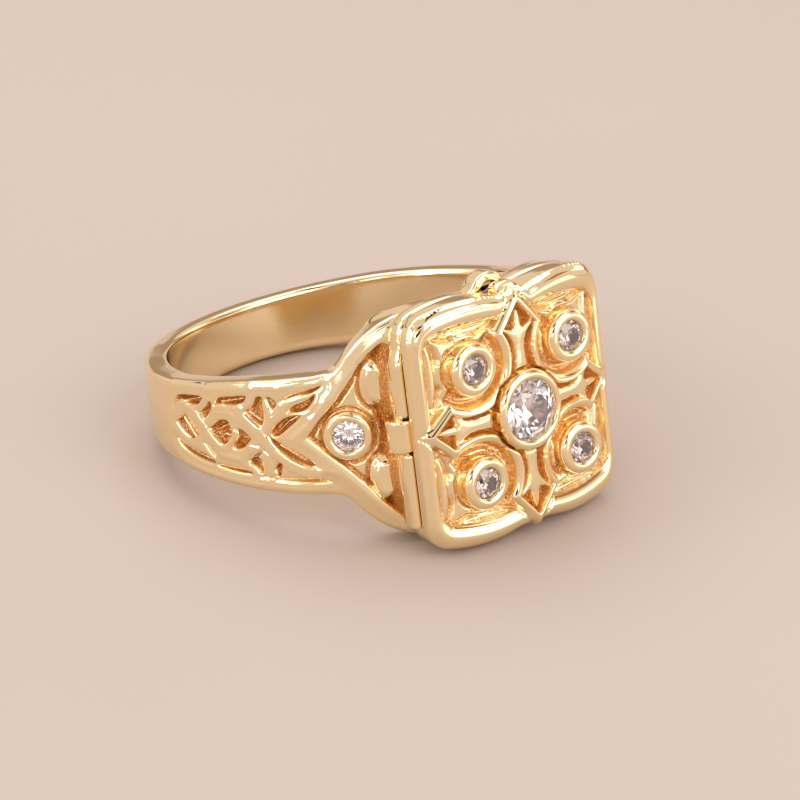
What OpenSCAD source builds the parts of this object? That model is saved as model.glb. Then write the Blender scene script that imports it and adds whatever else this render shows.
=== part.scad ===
// Finger ring with a hinged, stone-set square lid over a shallow box.
// The ring is worked out in its own frame: Z is the finger axis, -Y is the
// side that carries the lid, X runs from the hinge side to the catch side.
// rest() then lays it down on the plane z = 0 the way it lies by itself.

/* [Finger hole and band] */
// Inside diameter of the finger hole
finger_d = 18.9; // [18.6:0.1:19.2]
// Thickness of the band at its shoulders, from the finger hole to the outside
band_t = 1.6; // [1.5:0.05:1.7]
// How much thinner the band is half way to its back
taper = 0.25; // [0.1:0.05:0.35]
// Band width at the back
back_w = 3.0; // [2.8:0.02:3.2]
// Band width where the shoulders begin
front_w = 5.9; // [5.7:0.1:6.1]
// Depth of the hollows between the strands on the band
panel_depth = 0.35; // [0.2:0.05:0.45]
// Depth of the sunk triangles in the shoulders
shoulder_depth = 0.55; // [0.4:0.05:0.65]

/* [Box] */
// Distance from the finger axis to the rim of the box
rim_y = 10.8; // [10.7:0.05:10.9]
// Width of the box, hinge side to catch side
box_w = 11.2; // [11.1:0.1:11.3]
// Height of the box along the finger, over its two lobes
box_h = 11.2; // [11.0:0.1:11.3]
// How far the rolled rim stands out beyond the walls, top and bottom
rim_out = 0.25; // [0.15:0.05:0.3]
// Thickness of the curved floor between the box and the finger
floor_t = 0.6; // [0.5:0.05:0.8]
// Inside width of the compartment
inner_w = 8.4; // [8.0:0.1:8.6]
// Inside height of the compartment
inner_h = 8.8; // [8.4:0.1:8.9]

/* [Lid] */
// Width of the lid
lid_w = 11.5; // [11.4:0.05:11.6]
// Height of the lid over its lobes
lid_h = 11.9; // [11.8:0.05:12.0]
// Gap between the rim of the box and the underside of the lid
lid_gap = 0.15; // [0.1:0.01:0.2]
// Height of the polished border above the underside, at the middle
border_t = 1.6; // [1.5:0.05:1.7]
// How far the sunk field lies below the border
field_depth = 0.4; // [0.3:0.05:0.5]
// How much the lid falls away from the middle to its two side edges
dome = 0.8; // [0.7:0.05:0.9]

/* [Stones] */
// Diameter of the large stone in the middle
centre_d = 3.0; // [2.9:0.05:3.1]
// Diameter of the four corner stones
corner_d = 1.5; // [1.4:0.05:1.6]
// Diameter of the stone in each shoulder
shoulder_d = 1.5; // [1.4:0.05:1.6]
// Gap around every stone in its setting
stone_gap = 0.03; // [0.02:0.01:0.05]

/* [Hinge and catch] */
// Diameter of the hinge pin
pin_d = 0.6; // [0.5:0.02:0.64]
// Radial play of the pin in the lid's knuckle
pin_play = 0.04; // [0.02:0.01:0.06]
// Radius of the lid's middle knuckle
knuckle_r = 0.75; // [0.7:0.01:0.78]
// Radius of the two outer knuckles on the box
outer_r = 0.47; // [0.46:0.01:0.52]
// Length of the middle knuckle
knuckle_l = 1.56; // [1.4:0.02:1.6]
// How far the catch stands out beyond the edge of the lid
catch_out = 0.42; // [0.35:0.01:0.45]

/* [Hidden] */
$fn = 96;
ri = finger_d / 2;
ro = ri + band_t;
// the outside of the band is a circle set back towards the lid
band_r = ro - 0.2;
// hinge axis, parallel to the finger axis
hinge_x = -5.65;
hinge_y = -10.2;
// clearance round the two kinds of knuckle
notch_r = knuckle_r + 0.12;
cove_r = outer_r + 0.2;
outer_end = 4.6;
// arch on the upper edge of the box
arch_z = 5.3;
arch_r = 1.1;
hollow_r = 0.66;
foot_r = 0.6;
// corner settings: distance from the middle of the lid, bezel radius, height of
// the bezel and of the stone's girdle above the underside of the lid
cx = 2.93;
cz = 2.78;
corner_bez = 1.18;
corner_top = 1.93;
corner_girdle = 1.69;
centre_bez = 1.96;
shoulder_bez = 1.2;
shoulder_at = 138.5;
// lid levels, as distances from the finger axis
under_y = rim_y + lid_gap;
top_y = under_y + border_t;
// radius of the lid's arched top
dome_r = (pow(lid_w / 2, 2) + pow(dome, 2)) / (2 * dome);
// how the ring lies: tilt of the finger axis, and the shift that centres it
rest_tilt = 11.75;
rest_y = 1.475;
rest_z = 3.690;

module rest() {
  translate([0, rest_y, rest_z]) rotate([-rest_tilt, 0, 0]) children();
}

// ---- frames -------------------------------------------------------------
// 2-D shapes drawn in x and z, standing from y = -far to y = -near
module face(near, far) {
  translate([0, -near, 0]) rotate([90, 0, 0]) linear_extrude(height = far - near) children();
}
// local frame on the band: X runs round the band, Y is the finger axis and
// Z points outwards; the angle is counted from the back of the band
module at_band(angle) {
  rotate([0, 0, angle + 180]) rotate([90, 0, 0]) children();
}
module both_sides() {
  children();
  mirror([1, 0, 0]) children();
}

// ---- outlines -----------------------------------------------------------
// one quarter of a rounded square whose top edge is a convex lobe
function arc(cx, cz, r, a0, a1, n) =
  [for (i = [0:n]) let (a = a0 + (a1 - a0) * i / n) [cx + r * cos(a), cz + r * sin(a)]];
function quarter(w, h, rc, xl, rl, xn) =
  let (zl = h / 2 - rl,
       ex = w / 2 - rc - xl,
       dz = sqrt(pow(rl - rc, 2) - ex * ex),
       a1 = atan2(dz, ex),
       a2 = acos((xn - xl) / rl))
  concat(arc(w / 2 - rc, zl + dz, rc, 0, a1, 6), arc(xl, zl, rl, a1, a2, 7));
function flip(p, sx, sz) = [for (q = p) [q[0] * sx, q[1] * sz]];
function back_order(p) = [for (i = [len(p) - 1:-1:0]) p[i]];
function lobed(w, h, rc = 1.35, xl = 2.9, rl = 8, xn = 0.9) =
  let (q = quarter(w, h, rc, xl, rl, xn))
  concat(q, back_order(flip(q, -1, 1)), flip(q, -1, -1), back_order(flip(q, 1, -1)));

// band half-width against the distance along Y, from the back to the front
//            y      half width
band_table = [[11.4, back_w / 2],
              [10.4, back_w / 2 + 0.08],
              [7.8, back_w / 2 + 0.33],
              [5.5, back_w / 2 + 0.45],
              [4.0, back_w / 2 + 0.50],
              [1.5, back_w / 2 + 0.63],
              [-0.4, back_w / 2 + 0.82],
              [-2.7, front_w / 2 - 0.40],
              [-4.5, front_w / 2 - 0.22],
              [-6.3, front_w / 2 - 0.08],
              [-8.2, front_w / 2]];
// shoulder half-width against the angle from the back of the band
//                angle  half width
shoulder_table = [[131, front_w / 2 - 0.03],
                  [136, front_w / 2 + 0.12],
                  [138, front_w / 2 + 0.50],
                  [140, front_w / 2 + 0.95],
                  [142.5, front_w / 2 + 1.42],
                  [145.5, front_w / 2 + 1.83],
                  [149, front_w / 2 + 2.18],
                  [153, front_w / 2 + 2.45],
                  [157, front_w / 2 + 2.55]];
shoulder_mid = 143;

module mirrored_outline(table) {
  polygon(concat(table, back_order(flip(table, 1, -1))));
}

// ---- ring body ------------------------------------------------------------
// round outside of the band, `in` deeper than its surface
module band_round(in = 0) {
  translate([0, -taper, 0]) cylinder(r = band_r - in, h = 14, center = true);
}
module band_blank() {
  intersection() {
    band_round();
    union() {
      // width of the band seen from the side
      translate([-13, 0, 0]) rotate([90, 0, 90]) linear_extrude(height = 26)
        mirrored_outline(band_table);
      // flare of each shoulder
      both_sides() at_band(shoulder_mid) translate([0, 0, 7]) linear_extrude(height = 6)
        mirrored_outline([for (r = shoulder_table) [ro * sin(r[0] - shoulder_mid), r[1]]]);
    }
  }
}

// triangle inside the chevron of a shoulder
module shoulder_triangle() {
  m = 139.5;
  difference() {
    at_band(m) translate([0, 0, 9]) linear_extrude(height = 4)
      polygon([[ro * sin(128 - m), 0], [ro * sin(150.3 - m), 4.4], [2.7, 4.4],
               [2.7, -4.4], [ro * sin(150.3 - m), -4.4]]);
    cylinder(r = ro - shoulder_depth, h = 14, center = true);
  }
}

// interlaced strands in the side of the band: the hollows between them, each a
// leaf between two points with its own bulge above and below the chord
//            angle     z  angle     z  above  below
cell_table = [[ 84.5,  0.7, 100.5,  1.6, 0.34, 0.02],
              [ 96.3,  0.8, 101.5,  1.3, 0.06, 0.42],
              [102.5,  1.4, 113.0,  1.9, 0.16, 0.16],
              [ 85.8,  0.0,  95.3, -0.3, 0.52, 0.46],
              [ 85.0, -0.9, 100.0, -1.6, 0.10, 0.26],
              [101.0, -1.6, 111.7, -1.9, 0.10, 0.10],
              [ 99.8,  0.1, 107.8,  0.4, 0.28, 0.74],
              [106.0, -0.7, 112.7, -0.1, 0.52, 0.26],
              [111.0, -1.2, 115.5, -1.8, 0.42, 0.22],
              [111.8,  1.3, 117.4,  0.4, 0.95, 0.02],
              [118.3,  2.0, 120.6,  1.4, 0.14, 0.14],
              [121.6,  1.7, 133.2,  2.4, 0.20, 0.02],
              [123.5,  1.2, 131.0,  1.8, 0.12, 0.22],
              [118.8,  0.2, 128.5,  1.2, 0.22, 0.18],
              [117.8,  0.2, 129.6, -1.5, 0.12, 0.42],
              [113.7, -2.0, 133.3, -2.3, 0.08, 0.08]];
function leaf(x0, z0, x1, z1, up, down, n = 6) =
  let (l = norm([x1 - x0, z1 - z0]), dx = (x1 - x0) / l, dz = (z1 - z0) / l)
  concat([for (i = [0:n]) let (t = i / n, b = 4 * t * (1 - t) * up)
            [x0 + dx * l * t - dz * b, z0 + dz * l * t + dx * b]],
         [for (i = [n - 1:-1:1]) let (t = i / n, b = 4 * t * (1 - t) * down)
            [x0 + dx * l * t + dz * b, z0 + dz * l * t - dx * b]]);
module band_cells() {
  difference() {
    for (r = cell_table) {
      m = (r[0] + r[2]) / 2;
      at_band(m) translate([0, 0, 9.6]) linear_extrude(height = 3)
        polygon(leaf(ro * sin(r[0] - m), r[1], ro * sin(r[2] - m), r[3], r[4], r[5]));
    }
    band_round(panel_depth);
  }
}

// setting and two drops that fill a shoulder triangle
module shoulder_ornament() {
  at_band(shoulder_at) translate([0, 0, ro - shoulder_depth - 0.3])
    cylinder(r = shoulder_bez, h = shoulder_depth + 0.37);
  for (s = [-1, 1]) {
    at_band(146.2) translate([0, s * 2.00, ro - shoulder_depth - 0.24]) sphere(r = 0.74);
    at_band(146.4) translate([0, s * 2.75, ro - shoulder_depth - 0.24]) sphere(r = 0.60);
  }
}
module shoulder_seat() {
  at_band(shoulder_at) translate([0, 0, ro - 0.88]) cylinder(r = shoulder_d / 2 + stone_gap, h = 2);
}

// lobed wall of the box, the rolled rim and the arch over the upper point
module head() {
  face(7, rim_y - 0.7) polygon(lobed(box_w, box_h));
  face(rim_y - 0.75, rim_y) polygon(lobed(box_w, box_h + 2 * rim_out));
  face(rim_y - 0.95, rim_y) polygon(arch_outline());
}
// round arch whose feet run out along the rim
function arch_outline() =
  let (zf = box_h / 2 + 0.07 + foot_r, dz = zf - arch_z,
       xf = sqrt(pow(arch_r + foot_r, 2) - dz * dz), a = atan2(dz, xf))
  concat([[xf, arch_z - 0.2]], arc(xf, zf, foot_r, 270, 180 + a, 5), arc(0, arch_z, arch_r, a, 180 - a, 14),
         arc(-xf, zf, foot_r, 360 - a, 270, 5), [[-xf, arch_z - 0.2]]);

module ring_body() {
  color([0.86, 0.68, 0.36])
  rest() difference() {
    union() {
      difference() {
        band_blank();
        both_sides() shoulder_triangle();
        both_sides() band_cells();
      }
      difference() {
        union() {
          head();
          // outer knuckles of the hinge
          for (s = [0, 1]) mirror([0, 0, s])
            translate([hinge_x, hinge_y, knuckle_l / 2 + 0.1])
              cylinder(r = outer_r, h = outer_end - knuckle_l / 2 - 0.1);
        }
        // compartment with a floor that follows the finger
        difference() {
          face(8, rim_y + 1) polygon(lobed(inner_w, inner_h, rc = 0.9, xl = 2.2, rl = 8, xn = 0.8));
          cylinder(r = ri + floor_t, h = 14, center = true);
        }
        // hollow under the upper arch, which takes the tab of the lid
        translate([0, -(rim_y - 0.6), arch_z]) rotate([90, 0, 0]) cylinder(r = hollow_r, h = 1);
      }
      both_sides() shoulder_ornament();
    }
    both_sides() shoulder_seat();
    // finger hole
    cylinder(r = ri, h = 16, center = true);
    // room for the lid's knuckle
    translate([hinge_x, hinge_y, 0]) cylinder(r = notch_r, h = knuckle_l + 0.2, center = true);
    // hole for the pin, open at the lower end
    translate([hinge_x, hinge_y, -6]) cylinder(r = pin_d / 2 + 0.02, h = 6 + 3.35);
  }
}

// ---- lid ------------------------------------------------------------------
// solid below the arched top at a given distance from the finger axis
module under_arch(level) {
  translate([0, -level + dome_r, 0]) cylinder(r = dome_r, h = 16, center = true, $fn = 360);
}
module arched(level) {
  intersection() {
    face(under_y, under_y + 2.4) children();
    under_arch(level);
  }
}
module four_corners() {
  for (sx = [-1, 1], sz = [-1, 1]) translate([sx * cx, sz * cz]) children();
}
// cross with pointed ends, cut away round the corner settings; its points lie
// `up`, `low` and `side` from the middle
module cross(shoulder, along, up, low, side, r) {
  difference() {
    union() {
      polygon([[-shoulder, along], [0, up], [shoulder, along],
               [shoulder, -along], [0, -low], [-shoulder, -along]]);
      polygon([[along, shoulder], [side, 0], [along, -shoulder],
               [-along, -shoulder], [-side, 0], [-along, shoulder]]);
    }
    four_corners() circle(r = r);
  }
}
module cross_outer() {
  cross(1.38, 4.12, 5.85, 5.95, 5.7, 1.85);
}
// three-pointed stem in each arm
//            half width, distance from the middle
stem_table = [[0.42, 1.6], [0.30, 2.3], [0.26, 3.0], [0.34, 3.55], [0.84, 3.95],
              [0.36, 4.05], [0.22, 4.35], [0, 4.85]];
module stems() {
  for (a = [0:90:270]) rotate(a)
    polygon(concat(stem_table, back_order(flip(stem_table, -1, 1))));
}
// concave-sided square behind each corner setting
module corner_star() {
  difference() {
    square(3.4, center = true);
    for (a = [0:90:270]) rotate(a) translate([5.38, 0]) circle(r = 4.03);
  }
}
module field_outline() {
  polygon(lobed(10.2, 9.5, rc = 0.7, xl = 2.4, rl = 9, xn = 1.4));
}

module lid_metal() {
  difference() {
    union() {
      difference() {
        arched(top_y) polygon(lobed(lid_w, lid_h));
        difference() {
          face(under_y + 0.3, under_y + 3) field_outline();
          under_arch(top_y - field_depth);
        }
      }
      // corner stars, cross, stems
      arched(top_y - field_depth + 0.15) difference() {
        intersection() {
          four_corners() corner_star();
          square([10, 9.3], center = true);
        }
        cross_outer();
      }
      arched(top_y + 0.15) difference() {
        cross_outer();
        cross(0.97, 4.02, 5.12, 5.15, 5.0, 2.32);
      }
      arched(top_y + 0.03) stems();
      // settings of the five stones
      four_corners3(0.25) cylinder(r = corner_bez, h = corner_top - 0.25);
      face(under_y + 0.2, top_y + 0.45) circle(r = centre_bez);
      // middle knuckle of the hinge
      translate([hinge_x, hinge_y, 0]) cylinder(r = knuckle_r, h = knuckle_l, center = true);
      translate([hinge_x + 0.12, hinge_y - 0.75, 0]) cube([0.44, 0.9, knuckle_l], center = true);
      // tab of the upper point, which reaches back into the arch
      translate([-0.35, -(under_y + 0.9), arch_z - 0.15]) cube([0.7, 1.35, 0.45]);
      // thumb catch with its tongue over the wall of the box
      translate([lid_w / 2 - 0.4, -(under_y + 0.5), -0.65]) cube([0.4 + catch_out, 0.48, 1.3]);
      translate([lid_w / 2 + 0.04, -(under_y + 0.4), -0.65]) cube([catch_out - 0.04, 0.9, 1.3]);
    }
    // seats of the stones
    four_corners3(0.75) cylinder(r = corner_d / 2 + stone_gap, h = 2);
    face(under_y + 1.23, under_y + 4) circle(r = centre_d / 2 + stone_gap);
    face(under_y - 1, under_y + 1.3) circle(r = centre_d / 3);
    // room for the outer knuckles of the box
    for (s = [0, 1]) mirror([0, 0, s])
      translate([hinge_x, hinge_y, knuckle_l / 2]) cylinder(r = cove_r, h = outer_end - knuckle_l / 2 + 0.15);
    // hole for the pin
    translate([hinge_x, hinge_y, 0]) cylinder(r = pin_d / 2 + pin_play, h = 3, center = true);
  }
}
// corner settings stand on the lid plate, `lift` above its underside
module four_corners3(lift) {
  for (sx = [-1, 1], sz = [-1, 1])
    translate([sx * cx, -(under_y + lift), sz * cz]) rotate([90, 0, 0]) children();
}

module lid() {
  color([0.88, 0.71, 0.40]) rest() lid_metal();
}

module hinge_pin() {
  color([0.78, 0.62, 0.34])
  rest() translate([hinge_x, hinge_y, -outer_end + 0.02]) cylinder(r = pin_d / 2, h = outer_end + 3.25);
}

// ---- stones -----------------------------------------------------------------
// round brilliant of a given diameter, girdle at z = 0, table upwards
module brilliant(d) {
  rotate_extrude()
    polygon([[0, -0.43 * d], [0.5 * d, -0.015 * d], [0.5 * d, 0.015 * d],
             [0.28 * d, 0.16 * d], [0, 0.16 * d]]);
}
module corner_stone(sx, sz) {
  color([0.93, 0.91, 0.92])
  rest() translate([sx * cx, -(under_y + corner_girdle), sz * cz]) rotate([90, 0, 0]) brilliant(corner_d);
}
module corner_stone_a() corner_stone(-1, 1);
module corner_stone_b() corner_stone(1, 1);
module corner_stone_c() corner_stone(-1, -1);
module corner_stone_d() corner_stone(1, -1);
module centre_stone() {
  color([0.93, 0.91, 0.92])
  rest() translate([0, -(top_y + 0.13), 0]) rotate([90, 0, 0]) brilliant(centre_d);
}
module shoulder_stone_left() {
  color([0.93, 0.91, 0.92])
  rest() at_band(shoulder_at) translate([0, 0, ro - 0.15]) brilliant(shoulder_d);
}
module shoulder_stone_right() {
  color([0.93, 0.91, 0.92])
  rest() mirror([1, 0, 0]) at_band(shoulder_at) translate([0, 0, ro - 0.15])
    brilliant(shoulder_d);
}

ring_body();
lid();
hinge_pin();
centre_stone();
corner_stone_a();
corner_stone_b();
corner_stone_c();
corner_stone_d();
shoulder_stone_left();
shoulder_stone_right();
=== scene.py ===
import math

import bpy
import numpy as np
from mathutils import Matrix, Vector


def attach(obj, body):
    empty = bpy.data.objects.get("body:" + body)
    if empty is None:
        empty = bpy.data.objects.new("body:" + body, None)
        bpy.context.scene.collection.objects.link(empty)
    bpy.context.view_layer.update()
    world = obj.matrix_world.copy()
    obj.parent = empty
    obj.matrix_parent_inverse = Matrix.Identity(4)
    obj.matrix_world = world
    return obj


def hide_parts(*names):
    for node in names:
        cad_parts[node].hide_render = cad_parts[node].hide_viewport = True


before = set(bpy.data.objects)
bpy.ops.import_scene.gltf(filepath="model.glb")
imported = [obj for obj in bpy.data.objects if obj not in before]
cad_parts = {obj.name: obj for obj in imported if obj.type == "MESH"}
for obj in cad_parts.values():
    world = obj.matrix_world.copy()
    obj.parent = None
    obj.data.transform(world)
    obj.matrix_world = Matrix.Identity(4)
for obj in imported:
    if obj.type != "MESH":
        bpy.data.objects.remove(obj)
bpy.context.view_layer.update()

# ---------------------------------------------------------------- ring frame
# Everything is worked out in the ring's own frame in millimetres: Z is the
# finger axis, -Y the side with the lid, -X the hinge side. rest() lays it down
# as the CAD does.
TILT = math.radians(11.75)
CT, ST = math.cos(TILT), math.sin(TILT)
SHIFT_Y, SHIFT_Z = 1.475, 3.690
RI, RO = 9.45, 11.05
TAPER, BAND_R = 0.25, 10.85
HINGE = (-5.65, -10.2)
UNDER = 10.95


def rest(p):
    p = np.asarray(p, float)
    out = np.empty_like(p)
    out[..., 0] = p[..., 0]
    out[..., 1] = p[..., 1] * CT + p[..., 2] * ST + SHIFT_Y
    out[..., 2] = -p[..., 1] * ST + p[..., 2] * CT + SHIFT_Z
    return out * 0.001


def smooth(a, b, v):
    t = np.clip((v - a) / (b - a), 0.0, 1.0)
    return t * t * (3 - 2 * t)


def add_mesh(name, pts, polys, body, mat, deep=None, outward=None, flat=False):
    """polys is a list of index arrays, each n x k; outward(centres) says roughly which way the surface looks."""
    pts = np.asarray(pts, float)
    if outward is not None:
        total = 0.0
        for p in polys:
            a, b, c = pts[p[:, 0]], pts[p[:, 1]], pts[p[:, 2]]
            total += np.sum(np.cross(b - a, c - a) * outward((a + b + c) / 3))
        if total < 0:
            polys = [p[:, ::-1] for p in polys]
    me = bpy.data.meshes.new(name)
    me.vertices.add(len(pts))
    me.vertices.foreach_set("co", rest(pts).astype(np.float32).ravel())
    loops = np.concatenate([p.ravel() for p in polys]).astype(np.int32)
    counts = np.concatenate([np.full(len(p), p.shape[1]) for p in polys])
    starts = np.concatenate([[0], np.cumsum(counts)[:-1]]).astype(np.int32)
    me.loops.add(len(loops))
    me.loops.foreach_set("vertex_index", loops)
    me.polygons.add(len(counts))
    me.polygons.foreach_set("loop_start", starts)
    me.polygons.foreach_set("use_smooth", np.full(len(counts), not flat))
    me.update(calc_edges=True)
    me.validate()
    att = me.attributes.new("deep", "FLOAT", "POINT")
    att.data.foreach_set("value", (np.zeros(len(pts)) if deep is None else np.asarray(deep)).astype(np.float32))
    me.materials.append(mat)
    ob = bpy.data.objects.new(name, me)
    bpy.context.scene.collection.objects.link(ob)
    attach(ob, body)
    return ob


def grid_quads(rows, cols, wrap_r=False, wrap_c=False):
    r = np.arange(rows if wrap_r else rows - 1)
    c = np.arange(cols if wrap_c else cols - 1)
    R, C = np.meshgrid(r, c, indexing="ij")
    R2, C2 = (R + 1) % rows, (C + 1) % cols
    return np.stack([R * cols + C, R2 * cols + C, R2 * cols + C2, R * cols + C2], -1).reshape(-1, 4)


# ---------------------------------------------------------------- distances
def sdf(px, pz, poly, reach=0.8):
    """signed distance to a closed polygon, negative inside; `reach` beyond its box it isn't worked out"""
    poly = np.asarray(poly, float)
    out = np.full(px.shape, 9.0)
    lo, hi = poly.min(0) - reach, poly.max(0) + reach
    m = (px > lo[0]) & (px < hi[0]) & (pz > lo[1]) & (pz < hi[1])
    x, z = px[m], pz[m]
    if not len(x):
        return out
    d2 = np.full(x.shape, 1e9)
    odd = np.zeros(x.shape, bool)
    q = np.roll(poly, -1, 0)
    for (ax, az), (bx, bz) in zip(poly, q):
        ex, ez = bx - ax, bz - az
        wx, wz = x - ax, z - az
        t = np.clip((wx * ex + wz * ez) / (ex * ex + ez * ez + 1e-12), 0, 1)
        d2 = np.minimum(d2, (wx - ex * t) ** 2 + (wz - ez * t) ** 2)
        if az != bz:
            cross = ((az > z) != (bz > z)) & (x < ex * (z - az) / ez + ax)
            odd ^= cross
    d = np.sqrt(d2)
    out[m] = np.where(odd, -d, d)
    return out


def curve_distance(px, pz, pts):
    d2 = np.full(px.shape, 1e9)
    for (ax, az), (bx, bz) in zip(pts[:-1], pts[1:]):
        ex, ez = bx - ax, bz - az
        wx, wz = px - ax, pz - az
        t = np.clip((wx * ex + wz * ez) / (ex * ex + ez * ez + 1e-12), 0, 1)
        d2 = np.minimum(d2, (wx - ex * t) ** 2 + (wz - ez * t) ** 2)
    return np.sqrt(d2)


def arc(cx, cz, r, a0, a1, n):
    a = np.linspace(a0, a1, n + 1)
    return np.stack([cx + r * np.cos(a), cz + r * np.sin(a)], 1)


def lobed_quarter(w, h, rc=1.35, xl=2.9, rl=8.0, xn=0.9, n=40):
    """first quarter of a rounded square with a lobe on its top edge, from the side to the middle of the top"""
    zl = h / 2 - rl
    ex = w / 2 - rc - xl
    dz = math.sqrt((rl - rc) ** 2 - ex * ex)
    a1 = math.atan2(dz, ex)
    a2 = math.acos((xn - xl) / rl)
    top = arc(xl, zl, rl, a1, a2, n)
    return np.vstack([[[w / 2, 0.0]], arc(w / 2 - rc, zl + dz, rc, 0, a1, n), top[1:], [[0.0, top[-1][1]]]])


def quarter_sdf(px, pz, q):
    x, z = np.abs(px), np.abs(pz)
    d = curve_distance(x, z, q)
    height = np.interp(x, q[::-1, 0], q[::-1, 1])
    return np.where((x < q[0, 0]) & (z < height), -d, d)


def round_edge(d, r):
    """drop of a surface at distance d inside an edge rounded with radius r"""
    e = np.clip(r - d, 0, r)
    return r - np.sqrt(np.maximum(r * r - e * e, 0))


def ripple(x, y, seed, size):
    """slow unevenness between -1 and 1"""
    a = np.sin(x / size * 1.7 + seed) * np.cos(y / size * 1.3 - seed * 2.1)
    b = np.sin(x / size * 3.1 - y / size * 2.3 + seed * 3.7)
    c = np.cos(x / size * 5.3 + y / size * 4.1 + seed * 1.3)
    return (a + 0.6 * b + 0.35 * c) / 1.95


def speckle(x, y, size, seed):
    """grainy unevenness between 0 and 1 with a grain of about `size`"""
    out = np.zeros(np.shape(x))
    for k, (s, w) in enumerate(((1.0, 0.6), (0.55, 0.4))):
        u, v = x / (size * s), y / (size * s)
        iu, iv = np.floor(u), np.floor(v)
        fu, fv = u - iu, v - iv
        fu, fv = fu * fu * (3 - 2 * fu), fv * fv * (3 - 2 * fv)

        def h(a, b):
            t = np.sin(a * 127.1 + b * 311.7 + (seed + k * 17) * 74.7) * 43758.5453
            return t - np.floor(t)

        out += w * (
            h(iu, iv) * (1 - fu) * (1 - fv)
            + h(iu + 1, iv) * fu * (1 - fv)
            + h(iu, iv + 1) * (1 - fu) * fv
            + h(iu + 1, iv + 1) * fu * fv
        )
    return out


# ---------------------------------------------------------------- materials
def new_material(name):
    m = bpy.data.materials.new(name)
    m.use_nodes = True
    nt = m.node_tree
    bsdf = nt.nodes["Principled BSDF"]
    return m, nt, bsdf


def gold(name, high, low, rough=0.05, rough_low=0.22, grain=0.00009, bump=0.9):
    """polished plate whose sunk places (attribute deep) are duller and grainy, and painted darker and more orange as
    painted shade
    """
    m, nt, b = new_material(name)
    N, L = nt.nodes, nt.links
    b.inputs["Metallic"].default_value = 1.0
    att = N.new("ShaderNodeAttribute")
    att.attribute_name = "deep"
    co = N.new("ShaderNodeTexCoord")
    slow = N.new("ShaderNodeTexNoise")
    slow.inputs["Scale"].default_value = 900.0
    slow.inputs["Detail"].default_value = 2.0
    fine = N.new("ShaderNodeTexNoise")
    fine.inputs["Scale"].default_value = 1.0 / grain
    fine.inputs["Detail"].default_value = 3.0
    fine.inputs["Roughness"].default_value = 0.6
    for t in (slow, fine):
        L.new(co.outputs["Object"], t.inputs["Vector"])
    # deep mixes the high colour toward the low colour: painted shade in the hollows, broken up by real grain from the
    # fine noise
    mix = N.new("ShaderNodeMix")
    mix.data_type = "RGBA"
    mix.inputs["A"].default_value = (*high, 1)
    mix.inputs["B"].default_value = (*low, 1)
    spot = N.new("ShaderNodeMapRange")
    spot.inputs["From Min"].default_value = 0.40
    spot.inputs["From Max"].default_value = 0.58
    spot.inputs["To Min"].default_value = 0.30
    spot.inputs["To Max"].default_value = 1.25
    L.new(fine.outputs["Fac"], spot.inputs["Value"])
    share = N.new("ShaderNodeMath")
    share.operation = "MULTIPLY"
    share.use_clamp = True
    L.new(att.outputs["Fac"], share.inputs[0])
    L.new(spot.outputs["Result"], share.inputs[1])
    L.new(share.outputs["Value"], mix.inputs["Factor"])
    tint = N.new("ShaderNodeMix")
    tint.data_type = "RGBA"
    tint.blend_type = "MULTIPLY"
    ramp = N.new("ShaderNodeMapRange")
    ramp.inputs["From Min"].default_value = 0.3
    ramp.inputs["From Max"].default_value = 0.7
    ramp.inputs["To Min"].default_value = 0.0
    ramp.inputs["To Max"].default_value = 0.35
    L.new(slow.outputs["Fac"], ramp.inputs["Value"])
    L.new(ramp.outputs["Result"], tint.inputs["Factor"])
    L.new(mix.outputs["Result"], tint.inputs["A"])
    tint.inputs["B"].default_value = (0.97, 0.93, 0.86, 1)
    L.new(tint.outputs["Result"], b.inputs["Base Color"])
    rr = N.new("ShaderNodeMapRange")
    rr.inputs["To Min"].default_value = rough
    rr.inputs["To Max"].default_value = rough_low
    L.new(att.outputs["Fac"], rr.inputs["Value"])
    vary = N.new("ShaderNodeMath")
    vary.operation = "MULTIPLY_ADD"
    vary.inputs[1].default_value = 0.045
    L.new(slow.outputs["Fac"], vary.inputs[0])
    L.new(rr.outputs["Result"], vary.inputs[2])
    L.new(vary.outputs["Value"], b.inputs["Roughness"])
    st = N.new("ShaderNodeMapRange")
    st.inputs["To Min"].default_value = 0.012
    st.inputs["To Max"].default_value = bump
    L.new(att.outputs["Fac"], st.inputs["Value"])
    bn = N.new("ShaderNodeBump")
    bn.inputs["Distance"].default_value = 0.00010
    L.new(st.outputs["Result"], bn.inputs["Strength"])
    L.new(fine.outputs["Fac"], bn.inputs["Height"])
    L.new(bn.outputs["Normal"], b.inputs["Normal"])
    return m


# the low colour is the darker, more orange gold painted into the hollows as painted shade
GOLD = gold("gold_plate", (0.96, 0.78, 0.485), (0.62, 0.25, 0.04))
GOLD_PIN = gold("gold_pin", (0.86, 0.64, 0.36), (0.80, 0.40, 0.12), rough=0.16)


def stone_material(name, tint):
    m, nt, b = new_material(name)
    N, L = nt.nodes, nt.links
    co = N.new("ShaderNodeTexCoord")
    cloud = N.new("ShaderNodeTexNoise")
    cloud.inputs["Scale"].default_value = 1500.0
    cloud.inputs["Detail"].default_value = 1.0
    L.new(co.outputs["Object"], cloud.inputs["Vector"])
    mix = N.new("ShaderNodeMix")
    mix.data_type = "RGBA"
    mix.inputs["A"].default_value = (*tint, 1)
    mix.inputs["B"].default_value = (*[0.5 * t + 0.48 for t in tint], 1)
    L.new(cloud.outputs["Fac"], mix.inputs["Factor"])
    L.new(mix.outputs["Result"], b.inputs["Base Color"])
    b.inputs["Roughness"].default_value = 0.0
    b.inputs["IOR"].default_value = 2.1
    b.inputs["Transmission Weight"].default_value = 0.92
    return m


STONE = stone_material("clear_stone", (0.93, 0.84, 0.88))
# the small stones' dark brown tint is painted shade, standing in for the dark reflections they show
STONE_SMALL = stone_material("clear_stone_small_shaded", (0.47, 0.32, 0.29))


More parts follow.
